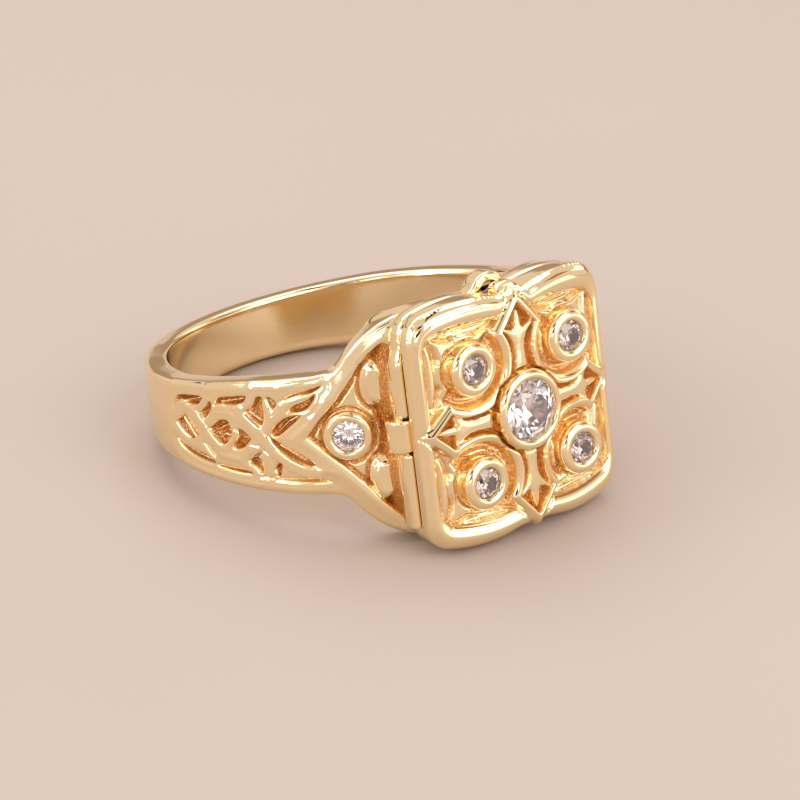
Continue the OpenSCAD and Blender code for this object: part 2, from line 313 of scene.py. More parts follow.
def foil(name, colour):
    m, _, b = new_material(name)
    b.inputs["Metallic"].default_value = 1.0
    b.inputs["Roughness"].default_value = 0.3
    b.inputs["Base Color"].default_value = (*colour, 1)
    return m


FOIL = foil("bright_seat", (0.86, 0.71, 0.71))
# the seats under the small stones are painted dark as painted shade, which darkens those stones
FOIL_SMALL = foil("shaded_seat", (0.36, 0.25, 0.23))

# ---------------------------------------------------------------- the lid
CX, CZ = 2.93, 2.78
LID_Q = lobed_quarter(11.5, 11.9)
FIELD_Q = lobed_quarter(10.2, 9.5, rc=0.7, xl=2.4, rl=9.0, xn=1.2)


def dome(x):
    return 0.8 * (x / 5.7) ** 2 - 0.4


CROSS_OUT = (1.52, 4.10, 5.99, 5.92, 5.68)
CROSS_IN = (0.97, 4.02, 5.22, 5.16, 5.0)


def ridge_polys(shoulder, along, up, low, side):
    v = [(-shoulder, along), (0, up), (shoulder, along), (shoulder, -along), (0, -low), (-shoulder, -along)]
    h = [(along, shoulder), (side, 0), (along, -shoulder), (-along, -shoulder), (-side, 0), (-along, shoulder)]
    return v, h


def cross_sdf(x, z, sizes, r):
    v, h = ridge_polys(*sizes)
    d = np.minimum(sdf(x, z, v, 2), sdf(x, z, h, 2))
    c = r - np.hypot(np.abs(x) - CX, np.abs(z) - CZ)
    return np.maximum(d, c)


def lid_edge(x, z):
    """signed distance to the lid's outline, negative inside"""
    d = quarter_sdf(x, z, LID_Q)
    v, _ = ridge_polys(*CROSS_OUT)
    return np.minimum(d, sdf(x, z, v, 2))


STEM = [(0.46, 1.6), (0.36, 2.3), (0.31, 2.85), (0.34, 3.2), (0.46, 3.5), (0.64, 3.74), (0.90, 3.98), (0.92, 4.09), (0.80, 4.13),
        (0.55, 4.04), (0.32, 3.98), (0.23, 4.10), (0.21, 4.35), (0.16, 4.65), (0.06, 4.88), (0.0, 4.92)]


def lid_height(x, z):
    """distance of the lid's top from the finger axis, and how sunk and grainy each place is, which also sets its
    painted shade
    """
    ax, az = np.abs(x), np.abs(z)
    rx, rz = ax - CX, az - CZ
    rc = np.hypot(rx, rz)
    grain = speckle(x, z, 0.10, 3)
    # sunk field
    f = quarter_sdf(x, z, FIELD_Q)
    level = 11.80 + 0.035 * (grain - 0.5)
    # the sunk field is grainy and gets a little painted shade
    deep = np.full(x.shape, 0.12)
    groove = 1 - smooth(0.03, 0.22, -f)
    level = level - 0.10 * groove
    # painted shade in the groove along the field's edge
    deep = np.maximum(deep, 0.85 * groove)
    # bosses between the stars and the border, then the stars
    star_c = np.minimum(
        np.minimum(np.hypot(rx - 5.38, rz), np.hypot(rx, rz - 5.38)),
        np.minimum(np.hypot(rx + 5.38, rz), np.hypot(rx, rz + 5.38)),
    )
    star = np.maximum(np.maximum(np.abs(rx), np.abs(rz)) - 1.72, 4.03 - star_c)
    boss_v = np.maximum(np.maximum(np.abs(rx) - 1.5, az - 4.70), np.hypot(rx, rz - 5.38) - 3.86)
    boss_h = np.maximum(np.maximum(np.abs(rz) - 1.5, ax - 5.02), np.hypot(rx - 5.38, rz) - 3.86)
    for b, high, d0 in ((boss_v, 0.17, 0.0), (boss_h, 0.10, 0.25)):
        up = smooth(0.0, 0.20, -b)
        level = np.maximum(level, 11.76 + (high + 0.04) * np.sqrt(up))
        deep = np.where(b < -0.03, np.minimum(deep, d0 + 0.1 * grain), deep)
        rim = np.exp(-(((b - 0.06) / 0.05) ** 2))
        level = level - 0.07 * rim
        # painted shade in the groove round each boss
        deep = np.maximum(deep, 0.8 * rim)
    s_up = smooth(0.0, 0.12, -star)
    rim = np.exp(-(((star - 0.07) / 0.055) ** 2))
    level = level - 0.08 * rim
    # painted shade in the groove round each star
    deep = np.maximum(deep, 0.8 * rim)
    tilt = 0.05 * np.clip((np.hypot(rx, rz) - 1.2), 0, 1)
    level = np.where(star < 0, np.maximum(level, 11.80 + 0.20 * s_up - tilt), level)
    deep = np.where(star < -0.03, 0.05, deep)
    # crescent hollow on the middle side of each setting
    co = cross_sdf(x, z, CROSS_OUT, 1.80)
    ci = cross_sdf(x, z, CROSS_IN, 2.32)
    side = smooth(-0.35, 0.15, -(rx + rz) * 0.7071)
    near = (1 - smooth(1.86, 2.0, rc)) * side
    floor = 11.73 + 0.10 * (grain - 0.5)
    hollow = near * (co > -0.02)
    level = level * (1 - hollow) + floor * hollow
    edge = np.maximum(1 - smooth(0.0, 0.16, co), smooth(1.72, 1.84, rc))
    edge = np.maximum(edge, 1 - smooth(1.59, 1.66, rc))
    # the hollow is grainy and painted darker as painted shade, most along its edges
    deep = np.where(hollow > 0.3, 0.35 + 0.6 * np.clip(edge, 0, 1), deep)
    collar = 12.03 - 0.16 * np.clip(np.abs(rc - 1.45) / 0.13, 0, 1) ** 2
    level = np.where((rc < 1.58) & (star > -0.03), np.maximum(level, collar), level)
    deep = np.where((rc < 1.58) & (star > -0.03), 0.0, deep)
    # polished border
    d_out = -lid_edge(x, z)
    d_in = f
    wide = np.clip(d_out + np.maximum(d_in, 0), 0.2, 3)
    u = np.clip(d_in / wide, 0, 1)
    roll = 0.29 * np.clip(wide / 1.1, 0.55, 1.0)
    crown = 12.23 - roll * np.clip(2 * u - 1.0, -1, 1) ** 2 - round_edge(np.maximum(d_in, 0) + 0.03, 0.10)
    border = f > 0
    level = np.where(border, np.maximum(crown, 11.72), level)
    deep = np.where(f > 0.02, 0.0, deep)
    level = np.where(border, level - 0.16 * np.exp(-((np.maximum(co, 0) / 0.07) ** 2)) * (co > 0), level)
    # arms of the cross: floor, stems, then the ridge round them
    floor = 11.73 + 0.17 * (grain - 0.5)
    arms = ci < 0.02
    level = np.where(arms, floor, level)
    # the arms' recessed floor is grainy and painted darkest, as painted shade
    deep = np.where(arms, 1.15, deep)
    stem = np.full(x.shape, 9.0)
    poly = STEM + [(-a, b) for a, b in STEM[::-1]]
    for sx, sz, swap in ((1, 1, 0), (1, -1, 0), (1, 1, 1), (-1, 1, 1)):
        px, pz = (x * sx, z * sz) if not swap else (z * sz, x * sx)
        stem = np.minimum(stem, sdf(px, pz, poly, 0.4))
    top = 12.2 - round_edge(np.maximum(-stem, 0) + 0.02, 0.15) * 0.8 - 0.02 * (1 - smooth(0.1, 0.3, -stem))
    level = np.where(stem < 0, np.maximum(level, top), level)
    deep = np.where(stem < 0.0, 0.0, deep)
    a, b = -co, ci
    on = (a > 0) & (b > 0)
    # a flat crest beside the recess that rolls off outwards into a steep wall
    e = np.clip(1 - a / 0.38, 0, 1)
    crest = 12.34 - 0.40 * (1 - np.sqrt(np.maximum(1 - e * e, 0))) + 0.03 * smooth(0.0, 0.14, b) * (1 - e)
    ridge = crest - round_edge(np.maximum(b, 0) + 0.01, 0.07)
    level = np.where(on, np.maximum(level, ridge), level)
    deep = np.where(on, 0.0, deep)
    # the walls towards the corner settings are as grainy as the hollows and get a little painted shade
    wall = on & (a < 0.05) & (rc < 2.0)
    deep = np.where(wall, 0.2, deep)
    # under the settings
    base = np.minimum(rc - 1.31, np.hypot(x, z) - 2.02)
    level = np.where(base < -0.02, 11.80, level)
    level = np.where(rc < 0.80, 11.70 + dome(x), level)
    level = np.where(np.hypot(x, z) < 1.62, 11.02 + dome(x), level)
    # painted shade in the crease round the foot of the settings
    deep = np.where(np.abs(base) < 0.06, np.maximum(deep, 0.75), deep)
    rim = np.exp(-(((base - 0.05) / 0.05) ** 2))
    level = np.where(base > 0, level - 0.05 * rim * (level > 11.9), level)
    return level, deep


def edge_fall(x, z, r=0.30):
    return round_edge(np.maximum(-lid_edge(x, z), 0), r)


def lid_under(x, z):
    """underside of the lid, with the room for the outer knuckles"""
    dx = x - HINGE[0]
    room = -HINGE[1] + np.sqrt(np.maximum(0.67**2 - dx * dx, 0)) * (np.abs(dx) < 0.67)
    ends = smooth(0.76, 0.80, np.abs(z)) * (1 - smooth(4.72, 4.78, np.abs(z)))
    cove = np.where(room > UNDER, room, UNDER)
    y = UNDER + (cove - UNDER) * ends
    return y


def clipped_grid(cell, half_x, half_z, distance):
    """regular grid over the region distance < 0, its edge vertices drawn onto the edge"""
    nx, nz = int(2 * half_x / cell) + 2, int(2 * half_z / cell) + 2
    xs = (np.arange(nx) - (nx - 1) / 2) * cell
    zs = (np.arange(nz) - (nz - 1) / 2) * cell
    X, Z = np.meshgrid(xs, zs, indexing="ij")
    X, Z = X.copy(), Z.copy()
    D = distance(X, Z)
    inside = D < 0
    cells = inside[:-1, :-1] | inside[1:, :-1] | inside[:-1, 1:] | inside[1:, 1:]
    used = np.zeros(X.shape, bool)
    for a, b in ((0, 0), (1, 0), (0, 1), (1, 1)):
        used[a : a + nx - 1, b : b + nz - 1] |= cells
    move = used & ~inside
    x, z = X[move], Z[move]
    e = 1e-3
    for _ in range(4):
        d = distance(x, z)
        gx = (distance(x + e, z) - distance(x - e, z)) / (2 * e)
        gz = (distance(x, z + e) - distance(x, z - e)) / (2 * e)
        g = np.maximum(np.hypot(gx, gz), 0.3)
        x, z = x - d * gx / g**2, z - d * gz / g**2
    X[move], Z[move] = x, z
    index = np.full(X.shape, -1)
    index[used] = np.arange(used.sum())
    i, j = np.nonzero(cells)
    quads = np.stack([index[i, j], index[i + 1, j], index[i + 1, j + 1], index[i, j + 1]], 1)
    return X, Z, used, index, quads


def rim_loops(quads):
    """closed loops of the edges that only one quad has"""
    a = quads.ravel()
    b = np.roll(quads, -1, 1).ravel()
    big = int(quads.max()) + 1
    fwd = a.astype(np.int64) * big + b
    rev = b.astype(np.int64) * big + a
    lone = ~np.isin(fwd, rev)
    nxt = dict(zip(a[lone].tolist(), b[lone].tolist()))
    loops = []
    while nxt:
        start = next(iter(nxt))
        loop, cur = [start], nxt.pop(start)
        while cur != start and cur in nxt:
            loop.append(cur)
            cur = nxt.pop(cur)
        loops.append(loop)
    return loops


def soften(a, times=1):
    for _ in range(times):
        p = np.pad(a, 1, mode="edge")
        a = (p[:-2, 1:-1] + 2 * p[1:-1, 1:-1] + p[2:, 1:-1]) / 4
        p = np.pad(a, 1, mode="edge")
        a = (p[1:-1, :-2] + 2 * p[1:-1, 1:-1] + p[1:-1, 2:]) / 4
    return a


def outward_y(c):
    o = np.zeros_like(c)
    o[:, 1] = -1
    return o


def build_lid():
    inset = 0.07
    X, Z, used, index, quads = clipped_grid(0.046, 5.8, 6.1, lambda x, z: lid_edge(x, z) + inset)
    H, deep = lid_height(X, Z)
    H = soften(H, 1)
    deep = soften(deep, 1)
    H = H - dome(X) - edge_fall(X, Z)
    pts = np.stack([X[used], -H[used], Z[used]], 1)
    deep = deep[used]
    polys = [quads]
    # the side wall, from the rounded top edge down to the rounded lower edge
    all_pts, all_deep = [pts], [deep]
    count = len(pts)
    for loop in rim_loops(quads):
        x, z, h = pts[loop, 0], pts[loop, 2], -pts[loop, 1]
        e = 1e-3
        gx = (lid_edge(x + e, z) - lid_edge(x - e, z)) / (2 * e)
        gz = (lid_edge(x, z + e) - lid_edge(x, z - e)) / (2 * e)
        g = np.maximum(np.hypot(gx, gz), 0.3)
        gx, gz = gx / g, gz / g
        under = lid_under(x, z)
        drop0 = round_edge(np.array([inset]), 0.30)[0]
        rows = []
        for k in range(1, 5):
            d = inset * (1 - k / 4) ** 2
            rows.append((inset - d, h - (round_edge(np.array([d]), 0.30)[0] - drop0)))
        low = under + 0.15
        for t in (0.35, 0.7, 1.0):
            rows.append((inset, rows[3][1] * (1 - t) + low * t))
        for a in (15, 30, 45, 60, 75, 90):
            a = math.radians(a)
            rows.append((inset - 0.15 * (1 - math.cos(a)), under + 0.15 * (1 - math.sin(a))))
        n = len(loop)
        ring = [np.array(loop)]
        for off, y in rows:
            all_pts.append(np.stack([x + gx * off, -y, z + gz * off], 1))
            all_deep.append(np.zeros(n))
            ring.append(count + np.arange(n))
            count += n
        for r0, r1 in zip(ring[:-1], ring[1:]):
            polys.append(np.stack([r0, np.roll(r0, -1), np.roll(r1, -1), r1], 1)[:, ::-1])
    body = add_mesh("lid_relief", np.vstack(all_pts), polys, "lid", GOLD, np.concatenate(all_deep))
    # make the first quad look outwards
    me = body.data
    s = np.zeros(len(me.polygons) * 3)
    me.polygons.foreach_get("normal", s)
    if s.reshape(-1, 3)[: len(quads), 1].mean() > 0:
        me.flip_normals()
    # underside
    X, Z, used, index, quads = clipped_grid(0.1, 5.8, 6.1, lambda x, z: np.maximum(lid_edge(x, z) + 0.14, 1.0 - np.hypot(x, z)))
    y = lid_under(X, Z)
    pts = np.stack([X[used], -y[used] - 0.002, Z[used]], 1)
    lathe("lid_opening", [(1.0, 10.952), (1.0, 11.3), (1.0, 11.9), (1.5, 11.9)], (0, 0, 0), (0, -1, 0), "lid", GOLD)
    add_mesh("lid_underside", pts, [quads], "lid", GOLD, None, outward=lambda c: -outward_y(c))
    return body


def lathe(name, profile, centre, direction, body, mat, deep=None, n=96, flat=False, oval=None):
    """profile: (radius, height) from outside to inside; heights go along `direction` from `centre`"""
    prof = np.array(profile, float)
    d = np.array(direction, float)
    d /= np.linalg.norm(d)
    u = np.cross(d, [0.0, 0.0, 1.0])
    if np.linalg.norm(u) < 0.1:
        u = np.cross(d, [0.0, 1.0, 0.0])
    u /= np.linalg.norm(u)
    v = np.cross(d, u)
    a = np.linspace(0, 2 * math.pi, n, endpoint=False)
    wide = np.ones(len(prof)) if oval is None else np.array(oval, float)
    flat_ring = np.cos(a)[None, :, None] * u * wide[:, None, None] + np.sin(a)[None, :, None] * v
    pts = np.array(centre)[None, None] + prof[:, 0][:, None, None] * flat_ring + prof[:, 1][:, None, None] * d
    m = len(prof)
    quads = grid_quads(m, n, wrap_c=True)
    dp = np.zeros(m) if deep is None else np.array(deep, float)
    centre = np.array(centre, float)
    # orient by the first profile step, whose outside faces away from the axis
    P = pts.reshape(-1, 3)
    q = quads[:n]
    nrm = np.cross(P[q[:, 1]] - P[q[:, 0]], P[q[:, 2]] - P[q[:, 0]])
    mid = P[q].mean(1) - centre
    mid -= (mid @ d)[:, None] * d
    if np.sum(nrm * mid) < 0:
        quads = quads[:, ::-1]
    return add_mesh(name, P, [quads], body, mat, np.repeat(dp, n), flat=flat)


def rounded(points, radii, n=5):
    """polyline with its inner points rounded"""
    pts = [np.array(p, float) for p in points]
    out = [pts[0]]
    for i in range(1, len(pts) - 1):
        a, b, c = pts[i - 1], pts[i], pts[i + 1]
        r = radii[i - 1]
        u, v = (a - b) / np.linalg.norm(a - b), (c - b) / np.linalg.norm(c - b)
        ang = math.acos(np.clip(u @ v, -1, 1))
        t = min(r / math.tan(ang / 2), 0.48 * np.linalg.norm(a - b), 0.48 * np.linalg.norm(c - b))
        for k in range(n + 1):
            s = k / n
            p = (b + u * t) * (1 - s) ** 2 + 2 * b * s * (1 - s) + (b + v * t) * s**2
            out.append(p)
    out.append(pts[-1])
    return np.array(out)


def bezel(name, centre, direction, outer_r, opening, base, top, girdle, body, narrow=0.0):
    """setting with a rounded rim, its wall a little wider at the foot; `narrow` takes that much off its sides"""
    crest, high = opening + 0.42 * (outer_r - opening), 0.30
    prof = [(outer_r + 0.05, base), (outer_r + 0.015, base + 0.12), (outer_r, base + 0.3 * (top - high - base))]
    for k in range(17):
        a = math.radians(180 * k / 16)
        half, drop = (outer_r - crest, high) if k < 8 else (crest - opening, 0.22)
        prof.append((crest + half * math.cos(a), top - drop + drop * math.sin(a)))
    prof += [(opening, girdle + 0.02), (opening + 0.015, girdle - 0.06)]
    deep = np.zeros(len(prof))
    # painted shade at the foot of the setting
    deep[0] = 0.6
    oval = [1 - narrow * max(0.0, (q[0] - opening) / (outer_r - opening)) / q[0] for q in prof]
    return lathe(name, prof, centre, direction, body, GOLD, deep=deep, oval=oval)


def seat(name, centre, direction, d, girdle, body, mat=None):
    """bright cone under a stone"""
    prof = [(d / 2 + 0.02, girdle - 0.05), (0.35 * d, girdle - 0.022 * d - 0.34 * d * 0.3 - 0.03), (0.01, girdle - 0.43 * d - 0.04)]
    prof[1] = (0.25 * d, girdle - 0.2225 * d - 0.045)
    return lathe(name, prof, centre, direction, body, mat or FOIL, n=64)


# ---------------------------------------------------------------- stones
def brilliant(name, d, centre, direction, body, pavilion=0.43, spin=0.0, mat=None):
    R = d / 2
    gt, hc, hp = 0.015 * d, 0.145 * d, pavilion * d
    pts, tris = [], []

    def P(r, a, h):
        pts.append((r * math.cos(a), r * math.sin(a), h))
        return len(pts) - 1

    s = math.pi / 4
    table = [P(0.56 * R, k * s + spin, gt + hc) for k in range(8)]
    rm = 0.80 * R
    hm = gt + hc * (R - rm * math.cos(s / 2)) / (0.44 * R)
    mid = [P(rm, (k + 0.5) * s + spin, min(hm, gt + hc * 0.75)) for k in range(8)]
    gu = [P(R, k * s / 2 + spin, gt) for k in range(16)]
    gl = [P(R, k * s / 2 + spin, -gt) for k in range(16)]
    rp = 0.24 * R
    low = [P(rp, (k + 0.5) * s + spin, -gt - (hp - gt) * (1 - rp * math.cos(s / 2) / R)) for k in range(8)]
    cul = P(0, 0, -hp)
    faces = [table]
    for k in range(8):
        k1 = (k + 1) % 8
        faces.append([table[k], mid[k], table[k1]])
        faces.append([table[k], mid[k - 1], gu[2 * k], mid[k]])
        faces.append([mid[k], gu[2 * k], gu[2 * k + 1]])
        faces.append([mid[k], gu[2 * k + 1], gu[(2 * k + 2) % 16]])
        faces.append([low[k], gl[2 * k + 1], gl[2 * k]])
        faces.append([low[k], gl[(2 * k + 2) % 16], gl[2 * k + 1]])
        faces.append([cul, low[k], gl[2 * k], low[k - 1]])
    for k in range(16):
        k1 = (k + 1) % 16
        faces.append([gl[k], gl[k1], gu[k1], gu[k]])
    L = np.array(pts)
    # outward winding
    fixed = []
    for f in faces:
        a, b, c = L[f[0]], L[f[1]], L[f[2]]
        n = np.cross(b - a, c - a)
        if n @ (L[f].mean(0) - np.array([0, 0, -0.1 * d])) < 0:
            f = f[::-1]
        fixed.append(f)
    dz = np.array(direction, float)
    dz /= np.linalg.norm(dz)
    u = np.cross([0.0, 0.0, 1.0], dz)
    if np.linalg.norm(u) < 0.1:
        u = np.array([1.0, 0.0, 0.0])
    u /= np.linalg.norm(u)
    v = np.cross(dz, u)
    W = np.array(centre) + L[:, :1] * u + L[:, 1:2] * v + L[:, 2:] * dz
    polys = [np.array([f for f in fixed if len(f) == k]) for k in (3, 4, 8)]
    return add_mesh(name, W, polys, body, mat or STONE, flat=True)


# ---------------------------------------------------------------- the band
BAND_Y = [(11.4, 1.50), (10.4, 1.58), (7.8, 1.83), (5.5, 1.95), (4.0, 2.0), (1.5, 2.13), (-0.4, 2.32), (-2.7, 2.55), (-4.5, 2.73), (-6.3, 2.87), (-8.2, 2.95)]
SHOULDER = [(131, 2.92), (134.5, 3.0), (136, 3.07), (138, 3.45), (140, 3.90), (142.5, 4.37), (145.5, 4.78), (149, 5.13), (153, 5.40), (158, 5.5)]


def outer(phi):
    """outer radius of the band, whose outside is a circle set back towards the lid"""
    a = np.radians(phi)
    return np.sqrt(BAND_R**2 - (TAPER * np.sin(a)) ** 2) - TAPER * np.cos(a)


def band_half(phi):
    """half width of the band at an angle counted from its back"""
    y = outer(phi) * np.cos(np.radians(phi))
    t = np.array(BAND_Y)
    a = np.interp(-y, -t[:, 0], t[:, 1])
    s = np.array(SHOULDER)
    b = np.interp(phi, s[:, 0], s[:, 1], left=0)
    return np.maximum(a, b)


# rounds off the corners of the width table
_ph = np.arange(0, 181, 0.25)
_w = band_half(_ph)
for _ in range(14):
    _w = np.concatenate([[_w[0]], (_w[:-2] + 2 * _w[1:-1] + _w[2:]) / 4, [_w[-1]]])


def half_width(phi):
    return np.interp(phi, _ph, _w)


# hollows between the strands on the side of the band: (angle, z) corners
HOLES = [
    [(84.4, 0.72), (86.4, 1.42), (89.0, 1.55), (92, 1.66), (96.5, 1.72), (98.2, 1.70), (96.6, 1.36), (94.6, 1.20), (91, 1.22), (88.6, 1.34), (86.6, 1.16)],
    [(96.3, 0.88), (97.6, 1.14), (98.9, 1.22), (100.3, 1.60), (101.3, 1.44), (100.5, 1.10), (99.2, 0.80), (98.0, 0.60)],
    [(101.6, 1.36), (103.4, 1.78), (106, 1.90), (109.5, 1.98), (112.9, 2.05), (111.9, 1.72), (109.6, 1.56), (106.5, 1.50), (104.0, 1.52)],
    [(85.0, 0.08), (87.2, 0.36), (89.6, 0.62), (91.6, 0.52), (93.6, 0.18), (95.6, -0.14), (94.0, -0.40), (91.6, -0.58), (89.6, -0.50), (87.4, -0.26)],
    [(84.6, -0.72), (86.6, -0.86), (89, -1.02), (93, -1.12), (97, -1.22), (100.2, -1.50), (99.0, -1.62), (95, -1.55), (90.5, -1.42), (87, -1.24), (85.2, -1.0)],
    [(100.6, -1.56), (104, -1.62), (108, -1.66), (111.4, -1.76), (111.9, -1.88), (108, -1.86), (104, -1.78), (101, -1.70)],
    [(99.3, 0.20), (101.2, 0.42), (103.2, 0.70), (106.2, 0.76), (106.9, 0.34), (107.2, 0.0), (105.8, -0.22), (104.6, -0.48), (103.0, -0.50), (101.0, -0.14)],
    [(108.9, 0.38), (110.6, 0.32), (112.9, -0.06), (111.6, -0.30), (110.2, -0.56), (108.4, -0.66), (106.4, -0.62), (107.8, -0.30), (109.3, -0.02)],
    [(111.0, -1.18), (112.6, -1.02), (114.0, -0.94), (114.9, -1.18), (115.3, -1.52), (114.8, -1.86), (113.9, -1.72), (112.8, -1.46)],
    [(111.5, 1.30), (113.6, 1.44), (114.9, 1.72), (115.6, 2.02), (117.4, 2.02), (117.0, 1.60), (117.5, 1.06), (116.6, 0.62), (115.4, 0.64), (113.6, 0.92)],
    [(118.3, 2.00), (119.4, 2.02), (121.2, 1.76), (120.9, 1.58), (119.7, 1.38), (119.1, 1.56)],
    [(121.7, 1.74), (124.5, 2.10), (128.5, 2.28), (133.4, 2.52), (132.4, 2.32), (130.4, 2.14), (127.6, 2.12), (124.6, 1.98)],
    [(123.6, 1.30), (125.4, 1.58), (127.6, 1.76), (129.6, 1.86), (130.6, 2.02), (131.6, 2.16), (130.9, 1.82), (129.2, 1.44), (127.6, 1.30), (125.6, 1.24)],
    [(118.6, 0.30), (120.4, 0.68), (122.6, 0.98), (125.6, 1.14), (127.4, 1.10), (125.4, 0.78), (122.8, 0.40), (120.6, 0.10), (119.0, 0.02)],
    [(117.6, 0.22), (119.0, -0.02), (121.5, -0.28), (124.6, -0.64), (127.4, -0.96), (129.6, -1.36), (128.2, -1.42), (125.6, -1.26), (122.6, -0.94), (119.6, -0.48)],
    [(113.8, -1.92), (117, -1.98), (121, -2.02), (126, -2.04), (130.4, -2.08), (133.5, -2.26), (130, -2.22), (125, -2.16), (119, -2.08), (115, -2.02)],
    [(118.6, -1.52), (119.8, -1.22), (120.6, -1.28), (120.3, -1.62), (119.6, -1.92), (118.4, -1.94), (119.0, -1.76)],
    [(111.9, -1.04), (113.4, -0.88), (115.9, -0.58), (115.5, -0.72), (114.0, -0.98)],
    [(96.6, -0.55), (97.6, -0.68), (100.6, -1.18), (100.1, -1.24), (98.2, -0.92)],
]
# small ridges that cross some of the hollows: a line, its half width and height below the surface
BRIDGES = [
    ([(88.4, 0.34), (90.6, -0.02), (92.6, -0.46)], 0.13, 0.20),
    ([(90.0, 1.30), (93.0, 1.44), (96.4, 1.60)], 0.06, 0.16),
    ([(101.6, 0.20), (103.4, 0.28), (104.6, 0.42)], 0.07, 0.14),
    ([(103.0, -0.18), (104.4, 0.02), (106.0, -0.02)], 0.08, 0.17),
    ([(104.2, 1.62), (108.0, 1.74), (111.2, 1.86)], 0.06, 0.16),
    ([(113.0, 1.26), (114.8, 1.04), (116.2, 0.86)], 0.09, 0.16),
    ([(88.0, -1.10), (93.0, -1.30), (98.0, -1.46)], 0.05, 0.20),
    ([(120.6, -0.34), (124.0, -0.74), (127.4, -1.16)], 0.045, 0.16),
    ([(121.6, 0.46), (123.8, 0.82), (126.0, 1.02)], 0.05, 0.16),
    ([(119.2, 1.94), (120.0, 1.62)], 0.05, 0.12),
]
TRIANGLE = [(128.1, 0.0), (131.5, 0.82), (136, 1.66), (140, 2.56), (143, 3.36), (146, 3.86), (149, 4.22), (150.6, 4.32), (150.9, 3.0), (150.9, -3.2), (150.9, -4.40), (148, -3.92), (145, -3.36), (142, -2.58), (138, -1.74), (133, -0.82)]
EGGS = [((146.7, 2.40), (0.80, 1.20), 8.0), ((146.7, -2.28), (0.82, 1.18), -10.0)]
BEZEL_AT = 138.5


# strands that pass over the others: a line and its half width
OVER = [
    ([(109.6, 1.42), (112.5, 0.95), (115.0, 0.28), (117.8, -0.44), (122.3, -1.20), (126.4, -1.62), (129.6, -1.78)], 0.27),
    ([(91.2, 1.06), (95.1, 0.80), (97.7, 0.27), (100.8, -0.37), (103.8, -0.66), (106.3, -0.50), (108.4, 0.12)], 0.19),
    ([(112.6, -0.62), (114.4, -0.66), (116.6, -0.96), (117.4, -1.5), (117.6, -1.9)], 0.24),
]


def rounder(poly, times=2):
    """closed polygon with its corners cut"""
    q = np.asarray(poly, float)
    for _ in range(times):
        n = np.roll(q, -1, 0)
        q = np.stack([0.8 * q + 0.2 * n, 0.2 * q + 0.8 * n], 1).reshape(-1, 2)
    return q


def unroll(phi):
    return np.radians(phi) * RO


